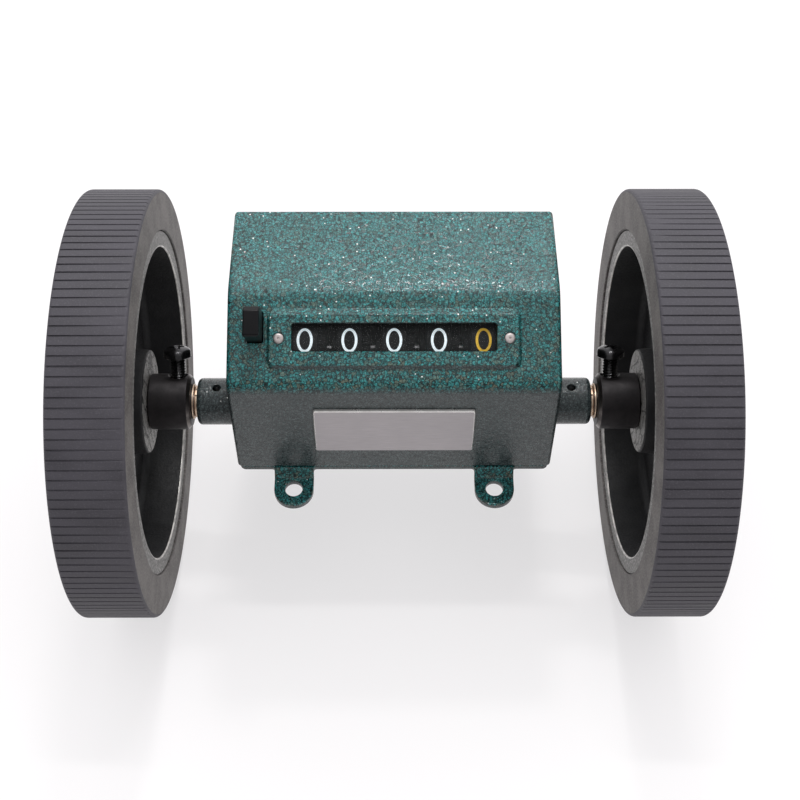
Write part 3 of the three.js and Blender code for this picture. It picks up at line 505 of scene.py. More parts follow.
def hammertone():
    """Hammered enamel: glossy beads of uneven colour parted by a thin dark net. The faces that look
    up are painted a lighter teal and the upright faces nearly black, as painted light and shade;
    the bosses are nearly black all over. The faces that look up also carry pale painted highlights."""
    paint = Finish("hammertone")
    plain = paint.place()
    pushed = paint.wander(plain, 1.0, 0.5)
    beads = paint.fade(paint.cells(pushed, 0.8, "DISTANCE_TO_EDGE"), 0.0, 0.16)
    chance = paint.cells(pushed, 0.8, output="Color")
    fine = paint.cells(paint.wander(plain, 0.6, 0.3), 0.5, "DISTANCE_TO_EDGE")
    cover = paint.product(beads, paint.fade(fine, 0.0, 0.16, 0.35, 1.0))
    tint = paint.fade(paint.noise(0.8, 3.0, 0.7), 0.38, 0.62)
    mist = paint.noise(9.0, 2.0)
    lift = paint.along("Z", paint.node("TexCoord").outputs["Normal"])
    station = paint.along("X", plain)
    station = paint.node("Math", {0: station}, operation="ABSOLUTE").outputs[0]
    # The bosses take the nearly black colour all over.
    on_cover = paint.fade(station, BOSS_DARK_FROM * MM, BOSS_DARK_AT * MM, 1.0, 0.0)
    # Painted light and shade: faces that look up get the lighter teal, upright faces the nearly black
    # colour.
    painted_light_share = paint.product(paint.fade(lift, 0.0, 0.62), on_cover)
    olive = paint.product(paint.fade(paint.along("X", chance), 0.45, 0.95, 0.0, 0.8),
                          paint.fade(lift, 0.8, 1.0, 1.0, 0.35))
    blue = paint.fade(paint.along("Y", chance), 0.60, 0.95, 0.0, 0.5)
    teal = paint.blend(tint, (0.004, 0.066, 0.068), (0.050, 0.335, 0.330))
    teal = paint.blend(olive, teal, (0.150, 0.140, 0.090))
    teal = paint.blend(blue, teal, (0.050, 0.290, 0.300))
    teal = paint.blend(paint.fade(mist, 0.35, 0.7, 0.0, 0.3), teal, (0.024, 0.158, 0.158))
    # The nearly black colour: painted shade on the upright faces, and the bosses' colour.
    painted_shade_and_boss_dark = paint.blend(tint, (0.038, 0.052, 0.054), (0.085, 0.110, 0.112))
    net = paint.blend(painted_light_share, (0.014, 0.019, 0.020), (0.002, 0.007, 0.008))
    enamel = paint.blend(cover, net, paint.blend(painted_light_share, painted_shade_and_boss_dark, teal))
    chosen = paint.along("X", paint.cells(plain, 1.7, output="Color"))
    # Pale specks on the faces that look up: painted highlights.
    painted_highlight = paint.product(paint.fade(paint.cells(plain, 1.7), 0.08, 0.13, 1.0, 0.0),
                          paint.fade(chosen, 0.56, 0.60))
    painted_highlight = paint.product(painted_highlight, paint.fade(lift, 0.72, 0.92))
    colour = paint.blend(painted_highlight, enamel, (0.90, 0.93, 0.90))
    paint.relief(cover, 0.03)
    paint.relief(paint.noise(1.6, 0.5), 0.13)
    return paint.set(colour=colour, roughness=0.1, specular=0.42)


def tread_rubber():
    """The tread: dark blue-grey rubber, a little dusty."""
    rubber = Finish("tread_rubber")
    fine = rubber.noise(0.35, 4.0, 0.6)
    broad = rubber.noise(7.0, 3.0, stretch=(0.35, 1, 1))
    base = rubber.blend(rubber.fade(broad), (0.038, 0.035, 0.043), (0.060, 0.056, 0.067))
    dust = rubber.blend(rubber.fade(fine, 0.5, 0.75, 0.0, 0.5), base, (0.105, 0.098, 0.113))
    rubber.relief(fine, 0.03)
    return rubber.set(colour=dust, roughness=rubber.fade(broad, 0.3, 0.7, 0.55, 0.72), specular=0.4)


def sidewall_rubber():
    """The tyre's flanks: ground rubber, greyer than the tread, with faint marks round the axis."""
    rubber = Finish("sidewall_rubber")
    fine = rubber.noise(0.5, 5.0, 0.7, stretch=(0.2, 1, 1))
    broad = rubber.noise(7.0, 4.0, 0.6)
    base = rubber.blend(rubber.fade(broad, 0.35, 0.65), (0.050, 0.043, 0.042), (0.110, 0.100, 0.095))
    worn = rubber.blend(rubber.fade(fine, 0.45, 0.68), base, (0.185, 0.172, 0.162))
    rubber.relief(fine, 0.03)
    return rubber.set(colour=worn, roughness=0.6, specular=0.35)


def worn_rim():
    """The rim's machined land: black worn through to grey at its rough spots."""
    rim = Finish("worn_rim")
    fine = rim.noise(0.7, 5.0, 0.75)
    pits = rim.cells(rim.wander(rim.place(), 1.5, 0.4), 0.9)
    colour = rim.blend(rim.fade(fine, 0.42, 0.66), (0.060, 0.057, 0.056), (0.330, 0.320, 0.305))
    colour = rim.blend(rim.fade(pits, 0.1, 0.3, 1.0, 0.0), colour, (0.030, 0.030, 0.030))
    rim.relief(fine, 0.09)
    return rim.set(colour=colour, roughness=0.5, metal=0.25, specular=0.5)


def broken_cast():
    """The hub boss's rough end: grey metal with dark tears across it."""
    metal = Finish("broken_cast")
    place = metal.wander(metal.place((1, 1, 0.45)), 2.2, 1.2)
    tears = metal.cells(place, 3.2, "DISTANCE_TO_EDGE")
    fine = metal.noise(0.5, 5.0, 0.7)
    colour = metal.blend(metal.fade(fine, 0.35, 0.68), (0.09, 0.087, 0.083), (0.36, 0.35, 0.335))
    crack = metal.fade(metal.sum(tears, metal.fade(fine, 0.3, 0.7, 0.0, 0.08)), 0.05, 0.13)
    colour = metal.blend(crack, (0.010, 0.010, 0.010), colour)
    metal.relief(metal.sum(crack, fine), 0.22)
    return metal.set(colour=colour, roughness=0.5, metal=0.45)


def turned_metal(name, light, dark, roughness, marks=0.12, metal=1.0):
    """Metal turned on a lathe: fine rings along X, with small stains."""
    turned = Finish(name)
    rings = turned.noise(marks, 3.0, stretch=(1, 0.02, 0.02))
    stain = turned.noise(2.5, 4.0, 0.6)
    colour = turned.blend(turned.fade(stain, 0.35, 0.7), light, dark)
    turned.relief(rings, 0.012)
    rough = turned.fade(stain, 0.3, 0.7, roughness, roughness + 0.12)
    return turned.set(colour=colour, roughness=rough, metal=metal)


def sheet_steel(name, light, dark, roughness):
    """Zinc-plated sheet, faintly spangled."""
    sheet = Finish(name)
    shade = sheet.along("Y", sheet.cells(sheet.place(), 2.2, output="Color"))
    scratch = sheet.noise(0.3, 3.0, stretch=(1, 0.1, 1))
    sheet.relief(scratch, 0.01)
    colour = sheet.blend(shade, dark, light)
    return sheet.set(colour=colour, roughness=sheet.fade(scratch, 0.3, 0.7, roughness, roughness + 0.15),
                     metal=1.0)


def plate_metal():
    """The label plate: matt anodised aluminium, finely brushed across."""
    plate = Finish("plate_metal")
    brush = plate.noise(0.12, 4.0, 0.6, stretch=(0.03, 1, 1))
    haze = plate.noise(12.0, 2.0)
    colour = plate.blend(plate.fade(brush), (0.350, 0.325, 0.335), (0.430, 0.400, 0.412))
    colour = plate.blend(plate.fade(haze, 0.3, 0.7, 0.0, 0.3), colour, (0.330, 0.310, 0.320))
    plate.relief(brush, 0.006)
    return plate.set(colour=colour, roughness=0.42, metal=0.3, specular=0.4)


def grained(name, deep, colour, roughness, depth, specular, grain=(0.25, 3.0, 0.6), patch=4.0,
            spread=0.1):
    """Moulded plastic or a painted casting: fine grain, and two tones in broad patches."""
    skin = Finish(name)
    fine = skin.noise(*grain)
    shade = skin.blend(skin.fade(skin.noise(patch, 2.0)), deep, colour)
    skin.relief(fine, depth)
    rough = skin.fade(fine, 0.3, 0.7, roughness, roughness + spread)
    return skin.set(colour=shade, roughness=rough, specular=specular)


def moulded(name, colour, roughness, depth=0.02, specular=0.5):
    deep = tuple(c * 0.7 for c in colour)
    return grained(name, deep, colour, roughness, depth, specular)


def figure_ink(name, colour, glow=0.0):
    """The printed figures, slightly uneven. The white ones give off a little bluish light of their
    own, to be as bright as in the photo."""
    ink = Finish(name)
    grain = ink.noise(0.4, 3.0)
    thin = tuple(c * 0.78 for c in colour)
    ink.relief(grain, 0.015)
    return ink.set(colour=ink.blend(ink.fade(grain, 0.3, 0.6), thin, colour), roughness=0.45,
                   glow=(0.75, 0.93, 1.0), glow_strength=glow)


def clear_pane():
    """The window's clear strip: mostly see-through, with a faint gloss and a few smears."""
    pane = Finish("clear_pane")
    smear = pane.noise(6.0, 3.0, stretch=(0.4, 1, 1))
    colour = pane.blend(pane.fade(smear, 0.4, 0.7), (0.30, 0.32, 0.32), (0.42, 0.44, 0.44))
    return pane.set(colour=colour, roughness=pane.fade(smear, 0.4, 0.7, 0.03, 0.12), alpha=0.025)


PAINT = hammertone()
TREAD = tread_rubber()
FLANK = sidewall_rubber()
CAST = grained("hub_casting", (0.009, 0.009, 0.010), (0.018, 0.018, 0.019), 0.42, 0.08, 0.25,
               grain=(0.6, 4.0, 0.6), patch=8.0, spread=0.2)
RIM = worn_rim()
BROKEN = broken_cast()
BLACK_STEEL = turned_metal("black_steel", (0.022, 0.019, 0.020), (0.012, 0.010, 0.011), 0.38, metal=0.6)
WORN_STEEL = turned_metal("worn_steel", (0.20, 0.18, 0.17), (0.09, 0.08, 0.08), 0.28)
SCREW_BLACK = turned_metal("screw_black", (0.060, 0.058, 0.060), (0.025, 0.025, 0.026), 0.13, metal=0.9)
BRIGHT = turned_metal("bright_steel", (0.66, 0.66, 0.67), (0.48, 0.47, 0.47), 0.22)
BRONZE = turned_metal("bronze", (0.72, 0.57, 0.44), (0.50, 0.35, 0.24), 0.28)
RIVET_METAL = turned_metal("rivet_metal", (0.50, 0.45, 0.44), (0.38, 0.34, 0.33), 0.32, metal=0.7)
BRASS = turned_metal("brass", (0.66, 0.52, 0.26), (0.50, 0.38, 0.17), 0.3)
FRAME_SHEET = sheet_steel("frame_sheet", (0.55, 0.56, 0.57), (0.42, 0.43, 0.44), 0.35)
PLATE = plate_metal()
PLATE_RIM = turned_metal("plate_rim", (0.80, 0.78, 0.76), (0.66, 0.64, 0.62), 0.25, metal=0.8)
DRUM_BLACK = moulded("drum_black", (0.004, 0.004, 0.005), 0.25, 0.008, specular=0.1)
KEY_BLACK = moulded("key_black", (0.004, 0.004, 0.005), 0.28, 0.01, specular=0.15)
ACETAL = moulded("acetal", (0.020, 0.020, 0.021), 0.45)
# The hub rim's inner rounded edge: worn bare metal, and painted pale as a highlight too.
WORN_AND_HIGHLIT_EDGE = turned_metal("worn_and_highlit_edge", (0.62, 0.60, 0.57), (0.30, 0.29, 0.28), 0.35, metal=0.7)
WHITE_INK = figure_ink("figure_white", (0.90, 0.97, 1.0), glow=0.3)
YELLOW_INK = figure_ink("figure_yellow", (0.92, 0.56, 0.02))
# The walls of the bushes' oil ways: near black.
OIL_WAY_BLACK = moulded("oil_way_black", (0.006, 0.006, 0.006), 0.35, 0.01, specular=0.2)
PANE = clear_pane()


# ---- cover

COVER_CORNERS = [
    (COVER_FRONT, COVER_BOTTOM, 0.9),
    (COVER_BACK, COVER_BOTTOM, 0.9),
    (COVER_BACK, COVER_TOP, 0.4),
    (FACE_HEAD_Y, COVER_TOP, HEAD_BEND),
    (COVER_FRONT, FACE_FOOT_Z, FOOT_BEND),
]


def cover_cavity():
    corners = inset(COVER_CORNERS, WALL)
    for i in (0, 1):
        corners[i] = (corners[i][0], COVER_BOTTOM - 3, 0)
    inner = COVER_HALF_WIDTH - WALL
    outline = filleted(corners)
    return loft([[(x, y, z) for y, z in outline] for x in (-inner, inner)])


def boss(side):
    """A bearing boss, its end rounded over, with a small fillet where it meets the wall."""
    wall = COVER_HALF_WIDTH
    root = 0.35
    profile = [(wall - 1.5, 0), (wall - 1.5, BOSS_RADIUS + root), (wall, BOSS_RADIUS + root)]
    fillet = arc((0, 0), (root, root), 0, 90, 4)[1:]
    profile += [(wall + root - u, BOSS_RADIUS + root - v) for u, v in fillet]
    profile += arc((BOSS_END - 1.2, BOSS_RADIUS - 1.2), (1.2, 1.2), 90, -90, 5)
    profile += [(BOSS_END, 0)]
    solid = lathe(profile, 72)
    solid.transform(Matrix.Rotation(0 if side > 0 else math.pi, 4, "Z"))
    return solid


def plateau():
    """The raised frame round the window: its flanks lean in, most along the upper side, and run
    smoothly out of the face and into the top."""
    width, depth = PLATEAU_SIZE
    both_slopes = PLATEAU_UPPER_SLOPE + PLATEAU_LOWER_SLOPE
    profile = [(0, -1), (0, 0), (0.1, 0.03), (0.22, 0.14), (0.5, 0.47), (0.76, 0.83), (0.88, 0.95),
               (1, 1)]
    layers = []
    for share, rise in profile:
        shift = (PLATEAU_LOWER_SLOPE - PLATEAU_UPPER_SLOPE) / 2 * share
        layers.append((PLATEAU_HEIGHT * rise, width - 2 * PLATEAU_SIDE_SLOPE * share,
                       depth - both_slopes * share, 2.2 - 0.5 * share, shift))
    return laid(stacked(layers, 6))


def window_cut():
    """The window's opening, with its upper edge broken."""
    width, depth = WINDOW_SIZE
    chamfer = 0.18
    over = 0.4
    layers = [(height, width + grow, depth + grow, 0.6 + grow / 2, WINDOW_SHIFT)
              for height, grow in ((-4.0, 0), (PLATEAU_HEIGHT - chamfer, 0),
                                   (PLATEAU_HEIGHT + over, 2 * (chamfer + over)))]
    return laid(stacked(layers, 4))


def key_cut():
    """The opening that the key slides in."""
    clearance = 0.25
    outline = rectangle(KEY_WIDTH + 2 * clearance, KEY_LENGTH + 2 * clearance, 0.5, 3)
    return laid(prism(outline, -4, 4), KEY_STATION, KEY_RISE - WINDOW_RISE)


def cover():
    """The hollow cover with its bosses, window frame and openings."""
    bore = BUSH_RADIUS + 0.1
    reach = 60
    through = lathe([(-reach, 0), (-reach, bore), (reach, bore), (reach, 0)], 64)
    blank = extruded(COVER_CORNERS, COVER_HALF_WIDTH, COVER_EDGE, 6, 5)
    cuts = [through]
    seat = PLATEAU_HEIGHT - 0.25
    for side in (-1, 1):
        hole = [(0, 0), (0, OIL_HOLE_RADIUS), (BOSS_RADIUS - 0.15, OIL_HOLE_RADIUS),
                (BOSS_RADIUS + 1, OIL_HOLE_RADIUS + 1.15), (BOSS_RADIUS + 1, 0)]
        cuts.append(moved(upright(lathe(hole, 32)), x=side * OIL_HOLE_STATION))
    cuts += [laid(prism(rectangle(*PANE_POCKET_SIZE, 0.2, 2), -4, -0.2)), window_cut(), key_cut()]
    for side in (-1, 1):
        hole = [(-4, 0), (-4, 1.05), (seat, 1.05), (seat, RIVET_RADIUS + 0.25),
                (2, RIVET_RADIUS + 0.35), (2, 0)]
        cuts.append(laid(upright(lathe(hole, 40)), side * RIVET_STATION))
    steps = [("DIFFERENCE", cover_cavity()), ("UNION", boss(1)), ("UNION", boss(-1)),
             ("UNION", plateau())]
    return combined(blank, steps + [("DIFFERENCE", solid) for solid in cuts])


# ---- base plate

FOOT_STATION = 25.5
FOOT_WIDTH = 10.0
FOOT_HOLE_REACH = 4.9
FOOT_HOLE_RADIUS = 2.2
BASE_THICKNESS = 1.8
FOOT_DROP = BASE_HIGH.z - BASE_LOW.z - BASE_THICKNESS
FOOT_BEND_LENGTH = 2.1
FOOT_BEND_CUTS = 9
BASE_CORNER = 1.5
SCREW_HOLE_RADIUS = 3.1


def foot_border(side, front):
    """The border of one foot, from its root on the left to its root on the right."""
    edge, away = (COVER_FRONT + 0.4, -1) if front else (COVER_BACK - 0.4, 1)
    middle = side * FOOT_STATION
    half = FOOT_WIDTH / 2
    root = 0.8
    tip = (COVER_FRONT if front else COVER_BACK) + away * FOOT_HOLE_REACH
    border = [(middle - half - root + u, edge + away * (root - v))
              for u, v in arc((0, 0), (root, root), 90, -90, 4)]
    turn = [(middle + half * math.cos(a), tip + away * half * math.sin(a))
            for a in (math.pi - math.pi * k / 24 for k in range(25))]
    other = [(2 * middle - u, v) for u, v in reversed(border)]
    return border + turn + other


def foot_bend(y):
    """How far the sheet has stepped down at a distance outside the cover."""
    outside = max(COVER_FRONT - y, y - COVER_BACK)
    share = min(max(outside / FOOT_BEND_LENGTH, 0), 1)
    return FOOT_DROP * share * share * (3 - 2 * share)


def base_plate():
    """The bottom sheet with its four stepped, pierced feet."""
    across = COVER_HALF_WIDTH - 0.4 - BASE_CORNER
    front, back = COVER_FRONT + 0.4 + BASE_CORNER, COVER_BACK - 0.4 - BASE_CORNER

    def corner(u, v, start):
        return arc((u, v), (BASE_CORNER, BASE_CORNER), start, 90, 4)

    border = corner(-across, front, 180)
    border += foot_border(-1, True) + foot_border(1, True)
    border += corner(across, front, 270) + corner(across, back, 0)
    border += foot_border(1, False)[::-1] + foot_border(-1, False)[::-1]
    border += corner(-across, back, 90)
    holes = [(side * FOOT_STATION, y, FOOT_HOLE_RADIUS, 40)
             for y in (COVER_FRONT - FOOT_HOLE_REACH, COVER_BACK + FOOT_HOLE_REACH)
             for side in (-1, 1)]
    holes += [(x, y, SCREW_HOLE_RADIUS, 32) for x, y in SCREW_PLACES.values()]
    outlines = [border]
    for x, y, radius, steps in holes:
        outlines.append(arc((x, y), (radius, radius), 0, -360, steps)[:-1])
    plate = sheet_metal(outlines, BASE_THICKNESS, 0.3)
    for k in range(FOOT_BEND_CUTS + 1):
        outside = FOOT_BEND_LENGTH * k / FOOT_BEND_CUTS
        for y in (COVER_FRONT - outside, COVER_BACK + outside):
            geometry = plate.verts[:] + plate.edges[:] + plate.faces[:]
            bmesh.ops.bisect_plane(plate, geom=geometry, plane_co=(0, y, 0), plane_no=(0, 1, 0))
    middle = BASE_HIGH.z - BASE_THICKNESS / 2
    for vertex in plate.verts:
        vertex.co.z += middle - foot_bend(vertex.co.y)
    return plate


def countersunk_screw(length):
    """A slotted countersunk screw with its head's face at z = 0, standing up on it."""
    profile = [(0, 0), (0, 2.75), (0.15, 2.9), (1.4, 1.5), (length, 1.5), (length, 0)]
    slot = bmesh.new()
    bmesh.ops.create_cube(slot, size=1, matrix=Matrix.Diagonal((12, 0.8, 1.4, 1)))
    return cut(upright(lathe(profile, 48)), slot)


def middle_of(node):
    """The middle of a CAD node's box, seen from above."""
    low, high = box(node)
    return (low.x + high.x) / 2, (low.y + high.y) / 2


SCREW_PLACES = {name: middle_of(name) for name in (
    "base_screw_1", "base_screw_2", "base_screw_3", "base_screw_4",
    "frame_screw_left", "frame_screw_right")}


# ---- window, key and plate

def rivet():
    """A low rivet head with a small dimple, sitting in a shallow seat."""
    seat = PLATEAU_HEIGHT - 0.2
    shank = 0.95
    dimple = 0.28
    crown = PLATEAU_HEIGHT + 0.42
    profile = [(-1.9, 0), (-1.9, 1.4), (-1.5, 1.4), (-1.5, shank), (seat, shank), (seat, RIVET_RADIUS)]
    profile += arc((crown - 0.4, RIVET_RADIUS - 0.5), (0.4, 0.5), 90, -90, 6)
    profile += [(crown + 0.03, dimple + 0.2), (crown, dimple), (crown - 0.22, dimple * 0.5),
                (crown - 0.25, 0)]
    return upright(lathe(profile, 48))


def name_plate():
    """The label plate: a thin sheet with a fine bright bevel."""
    width = PLATE_HIGH.x - PLATE_LOW.x
    depth = PLATE_HIGH.z - PLATE_LOW.z
    thickness = PLATE_HIGH.y - PLATE_LOW.y
    bevel = 0.3
    rises = ((0, 0), (thickness - bevel, 0), (thickness - 0.08, bevel * 0.55), (thickness, bevel))
    solid = stacked([(height, width - 2 * shrink, depth - 2 * shrink, 0.5 - shrink / 2, 0)
                     for height, shrink in rises], 4)
    for face in solid.faces:
        face.material_index = 0 if face.normal.z > 0.98 else 1
    solid.transform(Matrix.Translation((0, PLATE_HIGH.y, (PLATE_LOW.z + PLATE_HIGH.z) / 2))
                    @ Matrix.Rotation(math.pi / 2, 4, "X"))
    return solid


def reset_key():
    """The key's block, broad bevels at its upper end and fine ones elsewhere, on its stem."""
    half = KEY_LENGTH / 2
    side = [
        (-half, -6.0, 0),
        (half, -6.0, 0),
        (half, KEY_HEIGHT - 1.2, 0.5),
        (half - 1.2, KEY_HEIGHT, 0.5),
        (-half, KEY_HEIGHT, 0.6),
    ]
    block = extruded(side, KEY_WIDTH / 2, 0.4, 4, 4)
    stem = bmesh.new()
    low, high = -22.0, -5.0
    shape = Matrix.Translation((0, 0, (low + high) / 2)) @ Matrix.Diagonal((1.6, 2.6, high - low, 1))
    bmesh.ops.create_cube(stem, size=1, matrix=shape)
    return laid(combined(block, [("UNION", stem)]), KEY_STATION, KEY_RISE - WINDOW_RISE)


# ---- drums

def stroke(path, width, closed=False):
    """A ribbon along a path of (u, v) points, as left and right borders."""
    left, right = [], []
    count = len(path)
    for i, point in enumerate(path):
        before = path[i - 1] if closed or i > 0 else point
        after = path[(i + 1) % count] if closed or i < count - 1 else point
        along = Vector((after[0] - before[0], after[1] - before[1])).normalized()
        normal = Vector((-along.y, along.x)) * width / 2
        left.append((point[0] + normal.x, point[1] + normal.y))
        right.append((point[0] - normal.x, point[1] - normal.y))
    return left, right


def lines(*points, steps=8):
    """A path straight from each point to the next."""
    path = [points[0]]
    for (u, v), (next_u, next_v) in zip(points, points[1:]):
        path += [(u + (next_u - u) * k / steps, v + (next_v - v) * k / steps)
                 for k in range(1, steps + 1)]
    return path


def figure_paths(digit, u, v):
    """The strokes of a figure within plus and minus u across and v up, each as (path, closed)."""
    low, high = v * 0.46, v * 0.54
    paths = {
        0: [(arc((0, 0), (u, v), 0, 360, 40)[:-1], True)],
        1: [(lines((-u * 0.55, v * 0.62), (u * 0.1, v), (u * 0.1, -v)), False)],
        2: [(arc((0, v - high), (u, high), 165, -190, 20)
             + lines((u * 0.85, v * 0.2), (-u, -v), (u, -v))[2:], False)],
        3: [(arc((0, v - low), (u * 0.88, low), 150, -240, 20), False),
            (arc((0, -v + high), (u, high), 90, -240, 20), False)],
        4: [(lines((u * 0.5, -v), (u * 0.5, v), (-u, -v * 0.35), (u, -v * 0.35)), False)],
        5: [(lines((u * 0.85, v), (-u * 0.7, v), (-u * 0.85, v * 0.08)), False),
            (arc((0, -v + v * 0.58), (u, v * 0.58), 140, -290, 24), False)],
        6: [(arc((0, -v + high), (u, high), 0, 360, 28)[:-1], True),
            (arc((u * 0.35, -v + high), (u * 1.35, 2 * v - high), 180, -75, 14), False)],
        7: [(lines((-u, v), (u, v), (-u * 0.25, -v)), False)],
        8: [(arc((0, v - low), (u * 0.88, low), 0, 360, 28)[:-1], True),
            (arc((0, -v + high), (u, high), 0, 360, 28)[:-1], True)],
        9: [(arc((0, v - high), (u, high), 0, 360, 28)[:-1], True),
            (arc((-u * 0.35, v - high), (u * 1.35, 2 * v - high), 0, -75, 14), False)],
    }
    return paths[digit]


def add_figure(solid, digit, x):
    """Prints a raised figure on the drum at its own place round the rim."""
    u, v = (FIGURE_WIDTH - FIGURE_WEIGHT) / 2, (FIGURE_HEIGHT - FIGURE_WEIGHT) / 2
    start = face_tilt + math.pi / 2 - math.radians(36 * digit)
    for path, closed in figure_paths(digit, u, v):
        left, right = stroke(path, FIGURE_WEIGHT, closed)
        rows = []
        for border, rise in ((left, -FIGURE_ROOT), (left, FIGURE_PROUD), (right, FIGURE_PROUD),
                             (right, -FIGURE_ROOT)):
            row = []
            for across, up in border:
                angle = start - up / DRUM_RADIUS
                reach = DRUM_RADIUS + rise
                row.append(solid.verts.new((x + across, DRUM_AXIS[0] + reach * math.cos(angle),
                                            DRUM_AXIS[1] + reach * math.sin(angle))))
            rows.append(row)
        count = len(path)
        made = []
        for k in range(count if closed else count - 1):
            after = (k + 1) % count
            for one, two in ((0, 1), (1, 2), (2, 3), (3, 0)):
                corners = (rows[one][k], rows[one][after], rows[two][after], rows[two][k])
                made.append(solid.faces.new(corners))
        if not closed:
            made.append(solid.faces.new([row[0] for row in rows]))
            made.append(solid.faces.new([row[-1] for row in reversed(rows)]))
        for face in made:
            face.material_index = 1


def carry_gear(tip, root, start, end):
    """A drum's carry gear, turned so that a gap faces the pinion."""
    low, high = box("transfer_pinion_1")
    y, z = (low.y + high.y) / 2, (low.z + high.z) / 2
    first_angle = math.atan2(z - DRUM_AXIS[1], y - DRUM_AXIS[0]) + math.pi / CARRY_TEETH
    outline = []
    pitch = 2 * math.pi / CARRY_TEETH
    for k in range(CARRY_TEETH):
        for radius, offset in ((root, -0.22), (tip, -0.07), (tip, 0.07), (root, 0.22)):
            angle = first_angle + (k + offset) * pitch
            outline.append((DRUM_AXIS[0] + radius * math.cos(angle),
                            DRUM_AXIS[1] + radius * math.sin(angle)))
    return loft([[(x, y, z) for y, z in outline] for x in (start, end)])


def digit_drum(index):
    """A drum with a slightly crowned rim, its carry gear on the right and its disc on the left."""
    node_low, node_high = box(f"digit_drum_{index}")
    x = (index - (DRUM_COUNT + 1) / 2) * DRUM_PITCH
    half = DRUM_FACE / 2
    edge = 0.45
    bore = 1.4
    rim = [(x - half, bore), (x - half, 8.6), (x - half + 0.5, 9.2), (x - half, 9.8)]
    rim += arc((x - half + edge, DRUM_RADIUS - edge), (edge, edge), 180, -90, 4)
    rim += arc((x + half - edge, DRUM_RADIUS - edge), (edge, edge), 90, -90, 4)
    rim += [(x + half, bore)]
    drum = lathe(rim, 120, DRUM_AXIS)
    mesh_parts = [drum]
    if index < DRUM_COUNT:
        gear_module = 2 * PINION_DISTANCE / (CARRY_TEETH + PINION_TEETH)
        tip = gear_module * CARRY_TEETH / 2 + 0.75 * gear_module
        root = gear_module * CARRY_TEETH / 2 - 1.2 * gear_module
        mesh_parts.append(carry_gear(tip, root, x + half - 0.5, node_high.x))
    if index > 1:
        disc = [(node_low.x, bore), (node_low.x, 6.1), (node_low.x + 0.2, 6.3), (x - half + 0.5, 6.3),
                (x - half + 0.5, bore)]
        mesh_parts.append(lathe(disc, 72, DRUM_AXIS))
    whole = bmesh.new()
    for part in mesh_parts:
        scratch = mesh_of(part)
        whole.from_mesh(scratch)
        bpy.data.meshes.remove(scratch)
    for digit in range(10):
        add_figure(whole, digit, x)
    bmesh.ops.recalc_face_normals(whole, faces=whole.faces)
    return whole


# ---- shaft, collars and wheels

def shaft():
    end = box("main_shaft")[1].x
    profile = [(-end, 0), (-end, SHAFT_RADIUS - 0.6), (-end + 0.6, SHAFT_RADIUS),
               (end - 0.6, SHAFT_RADIUS), (end, SHAFT_RADIUS - 0.6), (end, 0)]
    return lathe(profile, 64)


def bush():
    low, high = box("bush_right")
    bore = SHAFT_RADIUS + 0.15
    profile = [(low.x, bore), (low.x, BUSH_RADIUS), (high.x - 0.25, BUSH_RADIUS),
               (high.x, BUSH_RADIUS - 0.25), (high.x, bore + 0.2), (high.x - 0.2, bore)]
    top = BUSH_RADIUS + 1
    oil_way = upright(lathe([(0, 0), (0, OIL_HOLE_RADIUS), (top, OIL_HOLE_RADIUS), (top, 0)], 32))
    body = cut(lathe(profile, 64), moved(oil_way, x=OIL_HOLE_STATION))

    def in_oil_way(middle):
        off_axis = math.hypot(middle.x - OIL_HOLE_STATION, middle.y)
        return off_axis < OIL_HOLE_RADIUS + 0.01 and middle.z > 0

    # The oil way's walls take the near-black finish.
    return faced(body, in_oil_way)


def thrust_washer():
    low, high = box("thrust_washer_right")
    bore = SHAFT_RADIUS + 0.1
    edge = 0.1
    profile = [(low.x, bore), (low.x, high.z - edge), (low.x + edge, high.z), (high.x - edge, high.z),
               (high.x, high.z - edge), (high.x, bore)]
    return lathe(profile, 64)


def collar():
    """The black collar: a broad chamfer toward the housing and a spigot through the hub."""
    start, end = COLLAR_LOW.x, COLLAR_HIGH.x
    radius = COLLAR_RADIUS
    chamfer = 0.9
    bore = SHAFT_RADIUS + 0.1
    shoulder = HUB_BOSS_FACE - 0.1
    profile = [(start, bore + 0.3), (start, radius - chamfer - 0.1), (start + 0.1, radius - chamfer),
               (start + chamfer - 0.1, radius - 0.1), (start + chamfer + 0.1, radius),
               (shoulder - 0.35, radius), (shoulder, radius - 0.35), (shoulder, SPIGOT_RADIUS),
               (end, SPIGOT_RADIUS),
               (end, bore), (start + 0.3, bore)]
    hole = [(0, 0), (0, 2.02), (radius - 0.5, 2.02), (radius + 0.4, 2.9), (radius + 0.4, 0)]
    body = cut(lathe(profile, 96), moved(upright(lathe(hole, 40)), x=SCREW_STATION))

    def on_chamfer(middle):
        outside = middle.yz.length > radius - chamfer - 0.05
        return outside and start + 0.02 < middle.x < start + chamfer

    return faced(body, on_chamfer)


